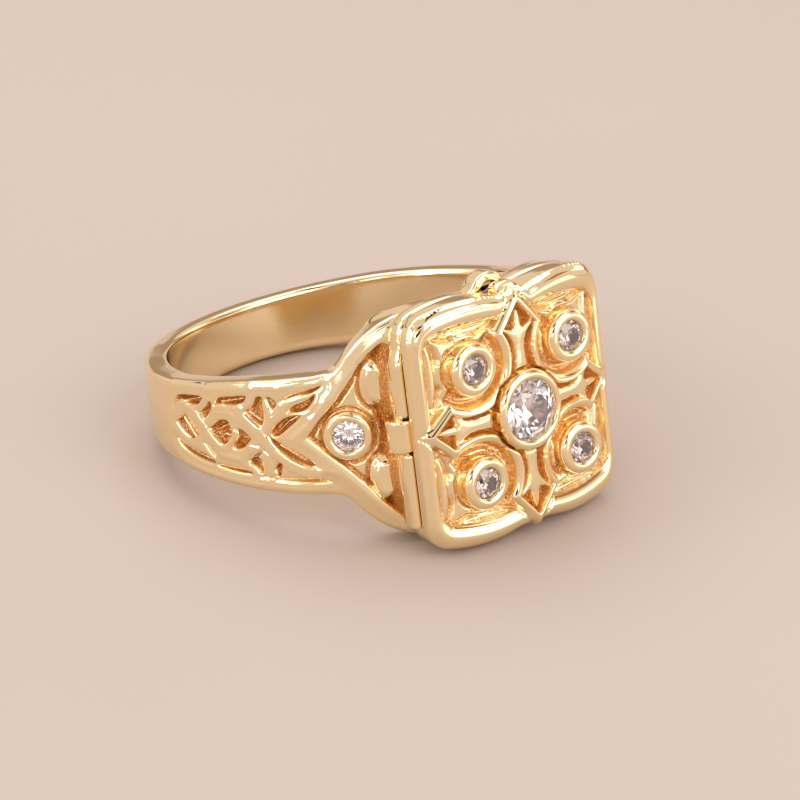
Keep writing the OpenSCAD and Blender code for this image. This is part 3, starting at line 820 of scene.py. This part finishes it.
def band_relief(phi, z):
    """outer radius of the band and how sunk and grainy each place is, which also sets its painted shade; the same on
    both sides
    """
    s = unroll(phi)
    fall = np.zeros(phi.shape)
    deep = np.zeros(phi.shape)
    grain = speckle(s, z, 0.12, 5)
    area = (phi > 82) & (phi < 136)
    if area.any():
        ps, pz = s[area], z[area]
        near = np.full(ps.shape, 9.0)
        for h in HOLES:
            q = np.array(h, float)
            q[:, 0] = unroll(q[:, 0])
            near = np.minimum(near, sdf(ps, pz, rounder(q), 0.5))
        over = np.zeros(ps.shape)
        for line, w in OVER:
            q = np.array(line, float)
            q[:, 0] = unroll(q[:, 0])
            over = np.maximum(over, smooth(w + 0.03, w - 0.05, curve_distance(ps, pz, q)))
        cut = 0.40 * smooth(0.02, -0.10, near) + 0.05 * smooth(0.16, 0.0, near)
        cut += 0.055 * (1 - over) * smooth(0.55, 0.25, near)
        cut += 0.14 * (speckle(ps, pz, 0.17, 9) - 0.5) * smooth(-0.05, -0.12, near)
        # the hollows between the strands are grainy and painted darker, as painted shade
        sunk = 0.9 * smooth(0.0, -0.05, near)
        for line, w, below in BRIDGES:
            q = np.array(line, float)
            q[:, 0] = unroll(q[:, 0])
            d = curve_distance(ps, pz, q)
            up = np.exp(-((d / w) ** 2) * 1.2)
            cut = np.where(near < 0, cut * (1 - up) + np.minimum(cut, below) * up, cut)
            sunk = sunk * (1 - 0.85 * up)
        # strands pass over and under each other
        cut += 0.006 * (1 + ripple(ps, pz, 1.3, 0.9)) * smooth(0.5, 0.1, near)
        fall[area] = cut
        deep[area] = sunk
    area = phi > 126
    if area.any():
        ps, pz, g = s[area], z[area], grain[area]
        q = np.array(TRIANGLE, float)
        q[:, 0] = unroll(q[:, 0])
        t = sdf(ps, pz, q, 0.9)
        ph = phi[area]
        floor = 0.17 + 0.36 * smooth(144.6, 148.6, ph) + 0.12 * smooth(142.6, 146.5, ph) * smooth(1.5, 0.9, np.abs(pz))
        sd = 0.15 + 0.0 * ph
        bd = np.hypot(ps - unroll(BEZEL_AT), pz)
        groove = np.exp(-(((t + 0.13) / 0.10) ** 2))
        around = np.exp(-(((bd - 1.33) / 0.10) ** 2))
        # painted shade in the grooves round the triangle and the setting and in the pocket beside the box
        sunk = np.maximum(np.maximum(groove, around) * 1.15, 1.1 * smooth(144.0, 147.5, ph))
        sunk = np.maximum(sunk, 0.7 * smooth(1.0, 0.6, np.abs(pz)) * smooth(142.3, 143.6, ph))
        c = floor + 0.16 * groove + 0.18 * around + 0.05 * (g - 0.5) * sunk
        for (a0, z0), (ra, rz), turn in EGGS:
            x1, z1 = ps - unroll(a0), pz - z0
            tr = math.radians(turn)
            u = x1 * math.cos(tr) + z1 * math.sin(tr)
            v = -x1 * math.sin(tr) + z1 * math.cos(tr)
            # egg: narrower towards the outer end
            k = 1 - 0.20 * np.clip(v * np.sign(z0) / rz, -1, 1)
            rho = np.sqrt((u / (ra * k)) ** 2 + (v / rz) ** 2)
            moat = np.exp(-(((rho - 1.12) / 0.12) ** 2))
            c = c + 0.18 * moat
            # painted shade in the moat round each egg
            sunk = np.maximum(sunk, 1.1 * moat)
            top = 0.55 - 0.68 * np.sqrt(np.clip(1 - rho**2, 0, 1))
            c = np.where(rho < 1, np.minimum(c, np.minimum(top, 0.5)), c)
            sunk = np.where(rho < 0.99, 0.0, sunk)
        ins = smooth(0.03, -0.07, t)
        edge = 0.05 * smooth(0.30, 0.0, t)
        fall[area] = np.maximum(fall[area], np.where(t > -0.07, ins * c + edge, c))
        deep[area] = np.maximum(deep[area], sunk * (t < 0.0))
        # flat for the setting
        fall[area] = np.where(bd < 1.22, 0.25, fall[area])
        fall[area] = np.where(bd < 0.84, 0.95, fall[area])
    return fall, deep


def build_band():
    end = 157.0
    fine = np.arange(83.0, end + 0.01, 0.265)
    back = np.linspace(-83.0, 83.0, 74)[1:-1]
    phi = np.concatenate([-fine[::-1], back, fine])
    ap = np.abs(phi)
    h = half_width(ap)
    ro = outer(ap)
    r_o, r_i = 0.38, 0.26
    n_mid = 116
    v = np.linspace(-1, 1, n_mid)
    Zs = v[:, None] * (h - r_o)[None]
    fall, deep = band_relief(np.broadcast_to(ap, Zs.shape), Zs)
    crown = 0.10 * (np.abs(Zs) / np.maximum(h, 1)) ** 2 * smooth(140, 115, ap)[None]
    slope = np.clip((np.abs(Zs) - (h - 1.32)) / 0.94, 0, 1)
    crown = crown + 0.22 * (np.sqrt(slope**2 + 0.02) - math.sqrt(0.02)) * smooth(125, 136, ap)[None]
    Rs = ro[None] - fall - crown
    up_z, up_r = [], []
    for k in range(1, 8):
        a = math.radians(90 * k / 7)
        up_z.append(h - r_o + r_o * math.sin(a))
        up_r.append(-r_o + r_o * math.cos(a) + 0.0 * h)
    thick = ro - RI
    for t in (0.33, 0.66, 1.0):
        up_z.append(h.copy())
        up_r.append(-r_o - t * (thick - r_o - r_i))
    for k in range(1, 6):
        a = math.radians(90 * k / 5)
        up_z.append(h - r_i + r_i * math.cos(a))
        up_r.append(-thick + r_i - r_i * math.sin(a))
    up_z, up_r = np.array(up_z), np.array(up_r)
    inner_lift = 0.02 * smooth(140.5, 143.0, ap)
    floor_r = RI + inner_lift
    ease = np.clip(1 + up_r / 0.8, 0, 1)
    top_r = np.maximum(ro + up_r - (ro - Rs[-1]) * ease, floor_r)
    bot_r = np.maximum(ro + up_r - (ro - Rs[0]) * ease, floor_r)
    inner_z = np.array([(h - r_i) * t for t in np.linspace(1, -1, 12)[1:-1]])
    inner_r = np.broadcast_to(floor_r, inner_z.shape)
    Z = np.vstack([Zs, up_z, inner_z, -up_z[::-1]])
    R = np.vstack([Rs, top_r, inner_r, bot_r[::-1]])
    # the inner surface gets a slight painted orange tint, standing in for warm light bounced off the floor
    inner_bounce_tint = np.zeros((len(up_z) + len(inner_z) + len(up_z), len(phi)))
    inner_bounce_tint[len(up_z) - 3:len(up_z) + len(inner_z) + 3] = 0.04
    D = np.vstack([deep, inner_bounce_tint])
    a = np.radians(phi)
    # the section's end rows stop on the box's side, not on a spoke
    pts = np.stack([-R * np.sin(a), R * np.cos(a), Z], -1).transpose(1, 0, 2)
    rows, ncol = pts.shape[:2]
    quads = grid_quads(rows, ncol, wrap_c=True)

    def out(c):
        o = c.copy()
        o[:, 2] = 0
        r = np.hypot(o[:, 0], o[:, 1])
        return o * (r > 10.3)[:, None]

    return add_mesh("ring_band", pts.reshape(-1, 3), [quads], "ring", GOLD, D.T.reshape(-1), outward=out)


# ---------------------------------------------------------------- the box
def full_loop(q, n):
    """closed outline from its first quarter, n points at even angles seen from the middle"""
    pts = np.vstack([q, q[::-1][1:] * [-1, 1], q[1:] * [-1, -1], q[::-1][1:] * [1, -1]])
    ang = np.unwrap(np.arctan2(pts[:, 1], pts[:, 0]))
    rad = np.hypot(pts[:, 0], pts[:, 1])
    a = np.linspace(0, 2 * math.pi, n, endpoint=False)
    r = np.interp(a, ang, rad, period=2 * math.pi)
    return np.stack([r * np.cos(a), r * np.sin(a)], 1)


def shrink(loop, d):
    t = np.roll(loop, -1, 0) - np.roll(loop, 1, 0)
    n = np.stack([t[:, 1], -t[:, 0]], 1)
    n /= np.linalg.norm(n, axis=1)[:, None]
    return loop - n * d


def build_box():
    n = 720
    wall = full_loop(lobed_quarter(11.2, 11.2), n)
    rim = full_loop(lobed_quarter(11.2, 11.7), n)
    inner = full_loop(lobed_quarter(8.4, 8.8, rc=0.9, xl=2.2, rl=8.0, xn=0.8), n)
    rows = []  # (loop, outward distance), from the finger side over the rim to the floor

    def finger(loop):
        return np.sqrt(np.maximum(RI**2 - loop[:, 0] ** 2, 1))

    base = finger(wall)
    for k in range(6):
        a = math.radians(90 * k / 5)
        rows.append((shrink(wall, 0.22 * (1 - math.sin(a))), finger(shrink(wall, 0.22 * (1 - math.sin(a)))) + 0.22 * (1 - math.cos(a))))
    start = rows[-1][1]
    for t in np.linspace(0, 1, 10)[1:]:
        rows.append((wall, start * (1 - t) + 9.98 * t))
    for t in (0.25, 0.5, 0.75, 1.0):
        rows.append((wall * (1 - t) + rim * t, np.full(n, 9.98 + 0.10 * t)))
    for t in (0.3, 0.6, 1.0):
        rows.append((rim, np.full(n, 10.08 + 0.36 * t)))
    for k in range(1, 10):
        a = math.radians(90 * k / 9)
        rows.append((shrink(rim, 0.36 * (1 - math.cos(a))), np.full(n, 10.44 + 0.36 * math.sin(a))))
    lip = shrink(rim, 0.36)
    for t in (0.3, 0.6, 0.94):
        rows.append((lip * (1 - t) + inner * t, np.full(n, 10.8)))
    rows.append((inner, np.full(n, 10.74)))
    floor = np.sqrt((RI + 0.6) ** 2 - inner[:, 0] ** 2)
    for t in (0.5, 1.0):
        rows.append((inner, 10.74 * (1 - t) + floor * t))
    for t in np.linspace(0.9, 0.0, 12):
        lp = inner * t
        rows.append((lp, np.sqrt((RI + 0.6) ** 2 - lp[:, 0] ** 2)))
    pts = np.array([np.stack([lp[:, 0], -y, lp[:, 1]], 1) for lp, y in rows])
    deep = np.zeros(pts.shape[:2])
    # painted shade in the step under the rim, and a little on the floor inside the box
    deep[15:18] = 0.5
    deep[-13:] = 0.15
    # the sides between the shoulders and the lid are grainy and painted dark, as painted shade
    side = (np.abs(wall[:, 0]) > 5.3) & (np.abs(wall[:, 1]) < 4.35)
    for k in range(6, 16):
        deep[k, side] = 1.2 * float(smooth(10.05, 9.9, rows[k][1][0]))
    # room for the lid's knuckle
    P = pts.reshape(-1, 3)
    dx, dy = P[:, 0] - HINGE[0], P[:, 1] - HINGE[1]
    m = (np.abs(P[:, 2]) < 0.90) & (np.hypot(dx, dy) < 0.87) & (P[:, 0] < -4.3)
    P[m, 0] = np.maximum(P[m, 0], HINGE[0] + np.sqrt(0.87**2 - dy[m] ** 2))
    # hollow behind the tab of the lid, under the arch
    m = (np.hypot(P[:, 0], P[:, 2] - ARCH_Z) < HOLLOW_R + 0.04) & (P[:, 1] < -10.2) & (P[:, 2] > 4.4)
    P[m, 1] = -10.2
    quads = grid_quads(pts.shape[0], n, wrap_c=True)

    def out(c):
        o = np.zeros_like(c)
        m = (np.abs(c[:, 0]) > 5.2) | (np.abs(c[:, 2]) > 5.0)
        o[m] = c[m] * [1, 0, 1]
        return o

    add_mesh("box_shell", P, [quads], "ring", GOLD, deep.reshape(-1), outward=out)
    # finger side of the box
    edge = shrink(wall, 0.22)
    t = np.linspace(0, 1, 16)[:, None, None]
    lp = edge[None] * t
    y = np.sqrt(RI**2 - lp[..., 0] ** 2)
    pts = np.stack([lp[..., 0], -y, lp[..., 1]], -1)
    quads = grid_quads(16, n, wrap_c=True)
    add_mesh("box_finger_side", pts.reshape(-1, 3), [quads], "ring", GOLD, None, outward=lambda c: -outward_y(c))


def rod(name, x, y, r, z0, z1, body, mat, round_r=0.08, n=48):
    s = 1 if z1 > z0 else -1
    prof = [(0.0, z0)]
    for k in range(5):
        a = math.radians(90 * k / 4)
        prof.append((r - round_r + round_r * math.sin(a), z0 + s * round_r * (1 - math.cos(a))))
    for t in (0.25, 0.5, 0.75):
        prof.append((r, z0 + (z1 - z0) * t))
    for k in range(5):
        a = math.radians(90 * k / 4)
        prof.append((r - round_r + round_r * math.cos(a), z1 - s * round_r * (1 - math.sin(a))))
    prof.append((0.0, z1))
    prof = np.array(prof)
    a = np.linspace(0, 2 * math.pi, n, endpoint=False)
    pts = np.stack(
        [x + prof[:, 0][:, None] * np.cos(a), y + prof[:, 0][:, None] * np.sin(a), np.broadcast_to(prof[:, 1][:, None], (len(prof), n))], -1
    )

    def out(c):
        o = c - [x, y, 0]
        o[:, 2] = 0
        return o

    return add_mesh(name, pts.reshape(-1, 3), [grid_quads(len(prof), n, wrap_c=True)], body, mat, None, outward=out)


def swept(name, path, frames, section, body, mat, closed=False, deep=None, caps=True):
    """section (m,2) carried along path (k,3) with frames (k,2,3)"""
    path, frames, section = np.array(path), np.array(frames), np.array(section)
    sec = section if section.ndim == 3 else np.broadcast_to(section, (len(path),) + section.shape)
    pts = path[:, None] + sec[..., :1] * frames[:, None, 0] + sec[..., 1:] * frames[:, None, 1]
    k, m = pts.shape[:2]
    P = pts.reshape(-1, 3)
    polys = [grid_quads(k, m, wrap_c=True, wrap_r=closed)]
    if caps and not closed:
        P = np.vstack([P, pts[0].mean(0), pts[-1].mean(0)])
        i = np.arange(m)
        polys.append(np.stack([np.full(m, k * m), (i + 1) % m, i], 1))
        j = (k - 1) * m
        polys.append(np.stack([np.full(m, k * m + 1), j + i, j + (i + 1) % m], 1))
    centres = path

    def out(c):
        d = np.linalg.norm(c[:, None] - centres[None], axis=2)
        return c - centres[np.argmin(d, 1)]

    dp = None
    if deep is not None:
        dp = np.zeros(len(P))
        dp[: k * m] = np.repeat(np.asarray(deep), m) if np.ndim(deep) == 1 else np.asarray(deep).reshape(-1)
    return add_mesh(name, P, polys, body, mat, dp, outward=out)


def superellipse(a, b, n=24, p=3.0):
    t = np.linspace(0, 2 * math.pi, n, endpoint=False)
    c, s = np.cos(t), np.sin(t)
    return np.stack([a * np.sign(c) * np.abs(c) ** (2 / p), b * np.sign(s) * np.abs(s) ** (2 / p)], 1)


ARCH_Z, ARCH_R, HOLLOW_R, FOOT_R = 5.3, 1.1, 0.66, 0.6


def build_arch():
    """strap over the upper edge of the box whose feet run out along the rim"""
    zf = 5.67 + FOOT_R
    dz = zf - ARCH_Z
    xf = math.sqrt((ARCH_R + FOOT_R) ** 2 - dz * dz)
    a = math.atan2(dz, xf)
    foot = arc(xf, zf, FOOT_R, math.radians(268), math.pi + a, 14)
    crown = arc(0, ARCH_Z, ARCH_R, a, math.pi - a, 40)
    path = np.vstack([foot, crown[1:], (foot[::-1] * [-1, 1])[1:]])
    t = np.gradient(path, axis=0)
    nrm = np.stack([t[:, 1], -t[:, 0]], 1)
    nrm /= np.linalg.norm(nrm, axis=1)[:, None]
    ang = np.linspace(math.radians(-35), math.radians(215), len(path))
    inner = np.stack([HOLLOW_R * np.cos(ang), ARCH_Z + HOLLOW_R * np.sin(ang)], 1)
    into = inner - path
    rows, deep = [], []
    r = 0.17
    for k in range(6):
        b = math.radians(90 * k / 5)
        rows.append((path - nrm * r * (1 - math.sin(b)), -9.85 - r * (1 - math.cos(b))))
        deep.append(0.0)
    for y in (-10.15, -10.3, -10.45):
        rows.append((path, y))
        deep.append(0.0)
    for k in range(7):
        b = math.radians(90 * k / 6)
        rows.append((path - nrm * r * (1 - math.cos(b)), -10.80 + r - r * math.sin(b)))
        deep.append(0.0)
    last = rows[-1][0]
    gap = inner - last
    size = np.linalg.norm(gap, axis=1)[:, None]
    rows.append((last + gap * 0.4, -10.80))
    deep.append(0.0)
    q = 0.10
    for k in range(6):
        b = math.radians(90 * k / 5)
        rows.append((inner - gap / size * q * (1 - math.sin(b)), -10.80 + q * (1 - math.cos(b))))
        deep.append(0.3 * (k > 3))
    for y in (-10.6, -10.45, -10.3, -10.18):
        # the hollow under the arch is grainy and painted dark, as painted shade
        rows.append((inner, y))
        deep.append(0.95)
    pts = np.array([np.stack([p[:, 0], np.full(len(p), y), p[:, 1]], 1) for p, y in rows])
    m, n = pts.shape[:2]

    def out(c):
        o = np.stack([c[:, 0], np.zeros(len(c)), c[:, 2] - ARCH_Z], 1)
        return o * (np.hypot(o[:, 0], o[:, 2]) > 0.98)[:, None]

    add_mesh("upper_arch", pts.reshape(-1, 3), [grid_quads(m, n)], "ring", GOLD, np.repeat(deep, n), outward=out)


def build_tab():
    """tab of the lid's upper point, folded back into the arch"""
    line = np.array([(12.36, 5.16), (12.36, 5.42), (12.28, 5.62), (12.12, 5.76), (11.9, 5.83), (11.5, 5.84), (11.2, 5.78), (10.95, 5.65), (10.75, 5.52), (10.52, 5.42)])
    u = np.concatenate([[0], np.cumsum(np.hypot(*np.diff(line, axis=0).T))])
    v = np.linspace(0, u[-1], 32)
    level, z = np.interp(v, u, line[:, 0]), np.interp(v, u, line[:, 1])
    k = v / v[-1]
    path, frames, secs = [], [], []
    tl, tz = np.gradient(level), np.gradient(z)
    for i in range(len(v)):
        g = math.hypot(tl[i], tz[i])
        path.append((0, -level[i], z[i]))
        # normal to the path in the plane through the finger axis
        frames.append(((1, 0, 0), (0, tz[i] / g, tl[i] / -g)))
        end = math.sqrt(max(1 - max(0.0, (k[i] - 0.86) / 0.14) ** 2, 0.02))
        thin = smooth(0.60, 0.85, k[i])
        wide = 0.86 - 0.40 * min(1.0, k[i] / 0.6) - 0.15 * thin
        secs.append(superellipse(wide * end, (0.20 + 0.09 * min(1.0, k[i] / 0.4) - 0.12 * thin) * end, 40, 2.6))
    swept("lid_tab", path, frames, np.array(secs), "lid", GOLD)


def build_hinge():
    # the outer knuckles are part of the rim; the upper one runs into its corner
    for s, n in ((1, "upper"), (-1, "lower")):
        zs = np.concatenate([[0.88, 0.90, 0.94, 1.0], np.linspace(1.1, 4.5, 30), [4.56, 4.59, 4.6]])
        path, frames, secs = [], [], []
        for z in zs:
            k = smooth(3.3, 4.5, z) if s > 0 else 0.0
            end = 1 - 0.45 * (1 - math.sqrt(max(0.0, 1 - max(0.0, (1.02 - z) / 0.14) ** 2)))
            end *= 1 - 0.4 * (1 - math.sqrt(max(0.0, 1 - max(0.0, (z - 4.5) / 0.1) ** 2)))
            path.append((-5.62 + 0.19 * k, -10.39 - 0.04 * k, s * z))
            frames.append(((1, 0, 0), (0, -1, 0)))
            secs.append(superellipse((0.36 - 0.18 * k) * end, (0.49 - 0.15 * k) * end, 32, 2.6))
        swept("hinge_knuckle_" + n, path, frames, np.array(secs), "ring", GOLD)
    rod("lid_knuckle", HINGE[0], HINGE[1], 0.74, -0.78, 0.78, "lid", GOLD, 0.12)
    web = [(-5.44, -10.95, t) for t in np.linspace(-0.74, 0.74, 5)]
    swept("knuckle_web", web, [((1, 0, 0), (0, 1, 0))] * 5, superellipse(0.15, 0.42, 24, 6.0), "lid", GOLD)


def build_catch():
    path, frames, secs = [], [], []
    for t in np.linspace(-1, 1, 21):
        path.append((5.62, -11.22, t * 0.65))
        frames.append(((1, 0, 0), (0, -1, 0)))
        k = math.sqrt(max(1 - abs(t) ** 4, 0.0))
        secs.append(superellipse(0.10 + 0.36 * k, 0.08 + 0.16 * k, 24, 2.4))
    swept("lid_catch", path, frames, np.array(secs), "lid", GOLD)
    path, frames = [], []
    for t in np.linspace(0, 1, 6):
        path.append((5.90, -11.1 + 0.56 * t, 0))
        frames.append(((1, 0, 0), (0, 0, 1)))
    swept("catch_tongue", path, frames, superellipse(0.13, 0.55, 24, 4.0), "lid", GOLD)


lid = build_lid()
band = build_band()
build_box()
build_arch()
build_tab()
build_hinge()
build_catch()

LID_OUT = (0, -1, 0)
bezel("bezel_centre", (0, 0, 0), LID_OUT, 1.97, 1.45, 12.05, 13.03, 12.68, "lid", narrow=0.11)
seat("seat_centre", (0, 0, 0), LID_OUT, 3.0, 12.68, "lid")
for sx, sz, n in ((-1, 1, "a"), (1, 1, "b"), (-1, -1, "c"), (1, -1, "d")):
    at = (sx * CX, 0, sz * CZ)
    bezel("bezel_" + n, at, LID_OUT, 1.29, 0.71, 11.75, 12.90, UNDER + 1.69, "lid")
    seat("seat_" + n, at, LID_OUT, 1.5, UNDER + 1.69, "lid", FOIL_SMALL)
    st = brilliant("stone_" + n, 1.5, (sx * CX, -(UNDER + 1.69), sz * CZ), LID_OUT, "lid", spin=0.3 * sx + 0.2 * sz, mat=STONE_SMALL)
    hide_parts("corner_stone_" + n)
st = brilliant("stone_centre", 3.0, (0, -12.68, 0), LID_OUT, "lid", spin=0.15)
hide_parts("centre_stone")
for s, n in ((1, "left"), (-1, "right")):
    a = math.radians(BEZEL_AT)
    out = np.array((-s * math.sin(a), math.cos(a), 0.0))
    bezel("shoulder_bezel_" + n, (0, 0, 0), out, 1.2, 0.71, RO - 0.55, RO + 0.10, RO - 0.15, "ring")
    seat("shoulder_seat_" + n, (0, 0, 0), out, 1.5, RO - 0.15, "ring")
    st = brilliant("shoulder_gem_" + n, 1.5, out * (RO - 0.15), out, "ring", spin=0.4)
    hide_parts("shoulder_stone_" + n)

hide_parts("lid")
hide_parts("ring_body")

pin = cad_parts["hinge_pin"]
pin.data.materials.clear()
pin.data.materials.append(GOLD_PIN)

# ---------------------------------------------------------------- floor
floor_m, nt, b = new_material("pale_floor")
co = nt.nodes.new("ShaderNodeTexCoord")
no = nt.nodes.new("ShaderNodeTexNoise")
no.inputs["Scale"].default_value = 30.0
nt.links.new(co.outputs["Object"], no.inputs["Vector"])
mx = nt.nodes.new("ShaderNodeMix")
mx.data_type = "RGBA"
mx.inputs["A"].default_value = (0.455, 0.385, 0.345, 1)
mx.inputs["B"].default_value = (0.475, 0.405, 0.365, 1)
nt.links.new(no.outputs["Fac"], mx.inputs["Factor"])
nt.links.new(mx.outputs["Result"], b.inputs["Base Color"])
b.inputs["Roughness"].default_value = 0.75
me = bpy.data.meshes.new("floor")
s = 0.6
me.from_pydata([(-s, -s, 0), (s, -s, 0), (s, s, 0), (-s, s, 0)], [], [(0, 1, 2, 3)])
me.materials.append(floor_m)
floor = bpy.data.objects.new("floor", me)
bpy.context.scene.collection.objects.link(floor)

# ---------------------------------------------------------------- light
world = bpy.data.worlds.new("studio")
bpy.context.scene.world = world
world.use_nodes = True
wn = world.node_tree.nodes
wn["Background"].inputs["Color"].default_value = (0.82, 0.72, 0.64, 1)
wn["Background"].inputs["Strength"].default_value = 1.0


def area(name, place, target, size, radiance, colour=(1, 1, 1), size_y=None):
    """softbox given by its radiance"""
    ld = bpy.data.lights.new(name, "AREA")
    ld.color = colour
    ld.shape = "RECTANGLE"
    ld.size = size
    ld.size_y = size_y or size
    ld.energy = radiance * math.pi * ld.size * ld.size_y
    o = bpy.data.objects.new(name, ld)
    bpy.context.scene.collection.objects.link(o)
    o.location = place
    o.rotation_mode = "QUATERNION"
    o.rotation_quaternion = (Vector(target) - Vector(place)).to_track_quat("-Z", "Y")
    return o


def card(name, place, target, w, h, colour):
    """dark card that shows as a line in the polished metal"""
    m, _, b = new_material(name)
    b.inputs["Base Color"].default_value = (*colour, 1)
    b.inputs["Roughness"].default_value = 1.0
    b.inputs["Specular IOR Level"].default_value = 0.0
    me = bpy.data.meshes.new(name)
    me.from_pydata([(-w / 2, -h / 2, 0), (w / 2, -h / 2, 0), (w / 2, h / 2, 0), (-w / 2, h / 2, 0)], [], [(0, 1, 2, 3)])
    me.materials.append(m)
    o = bpy.data.objects.new(name, me)
    bpy.context.scene.collection.objects.link(o)
    o.location = place
    o.rotation_mode = "QUATERNION"
    o.rotation_quaternion = (Vector(target) - Vector(place)).to_track_quat("Z", "Y")
    return o


CENTRE = (0, 0, 0.006)
area("top_back", (0.08, 0.20, 0.36), CENTRE, 0.46, 2.3, (1.0, 0.985, 0.97), 0.26)
area("front_big", (0.081, -0.301, 0.281), CENTRE, 0.36, 2.3, (1.0, 0.985, 0.97), 0.32)
area("back_left", (-0.260, 0.167, 0.286), CENTRE, 0.20, 2.0, (1.0, 0.98, 0.96), 0.18)
area("left_soft", (-0.39, 0.055, 0.23), CENTRE, 0.30, 2.2, (1.0, 0.98, 0.96), 0.20)
area("right_soft", (0.44, 0.02, 0.16), CENTRE, 0.24, 1.0, (1.0, 0.97, 0.94), 0.12)
area("camera_left", (-0.264, -0.196, 0.190), CENTRE, 0.12, 3.4, (1.0, 0.98, 0.96), 0.08)
area("glint_left", (-0.31, -0.03, 0.05), CENTRE, 0.05, 7.0, (1.0, 0.98, 0.95), 0.035)
area("rail_front", (-0.225, -0.305, 0.118), CENTRE, 0.20, 1.45, (0.97, 0.98, 1.0), 0.075)
area("glint_front", (0.06, -0.30, 0.06), CENTRE, 0.05, 7.0, (1.0, 0.98, 0.95), 0.03)
area("low_front", (0.036, -0.062, 0.013), CENTRE, 0.070, 1.02, (1.0, 0.975, 0.94), 0.024)
DARK, BROWN = (0.02, 0.017, 0.014), (0.42, 0.25, 0.12)
card("dark_strip", (0.02, -0.012, 0.34), CENTRE, 0.40, 0.030, DARK)
card("dark_front_left", (-0.172, -0.154, 0.262), CENTRE, 0.13, 0.060, DARK)
card("dark_left", (-0.270, 0.007, 0.224), CENTRE, 0.08, 0.036, DARK)
card("dark_back", (-0.02, 0.36, 0.15), CENTRE, 0.30, 0.022, DARK)
card("amber_inside", (0.10, -0.12, 0.15), CENTRE, 0.05, 0.035, (0.55, 0.26, 0.07))
card("dark_camera", (-0.140, -0.186, 0.118), CENTRE, 0.12, 0.060, DARK)
card("tan_back", (0.21, 0.336, 0.055), CENTRE, 0.40, 0.09, (0.42, 0.34, 0.27))
card("brown_right", (0.340, 0.077, 0.035), CENTRE, 0.20, 0.060, BROWN)
card("brown_front_right", (0.283, -0.108, 0.229), CENTRE, 0.15, 0.090, BROWN)

# ---------------------------------------------------------------- camera
back = np.array((-0.5655, -0.7662, 0.3050))
back /= np.linalg.norm(back)
right = np.array((0.776, -0.6186, -0.1177))
right -= back * (right @ back)
right /= np.linalg.norm(right)
up = np.cross(back, right)
turn = np.array([[1, 0, 0], [0, CT, ST], [0, -ST, CT]])
cam_data = bpy.data.cameras.new("camera")
cam = bpy.data.objects.new("camera", cam_data)
bpy.context.scene.collection.objects.link(cam)
m = np.eye(4)
m[:3, 0], m[:3, 1], m[:3, 2] = turn @ right, turn @ up, turn @ back
m[:3, 3] = rest(np.array([(-99.87, -138.05, 52.51)]))[0]
cam.matrix_world = Matrix(m.tolist())
cam_data.sensor_width = 36.0
cam_data.lens = 162.43
cam_data.clip_start = 0.005
cam_data.clip_end = 5.0
bpy.context.scene.camera = cam
bpy.context.scene.view_settings.view_transform = "Standard"
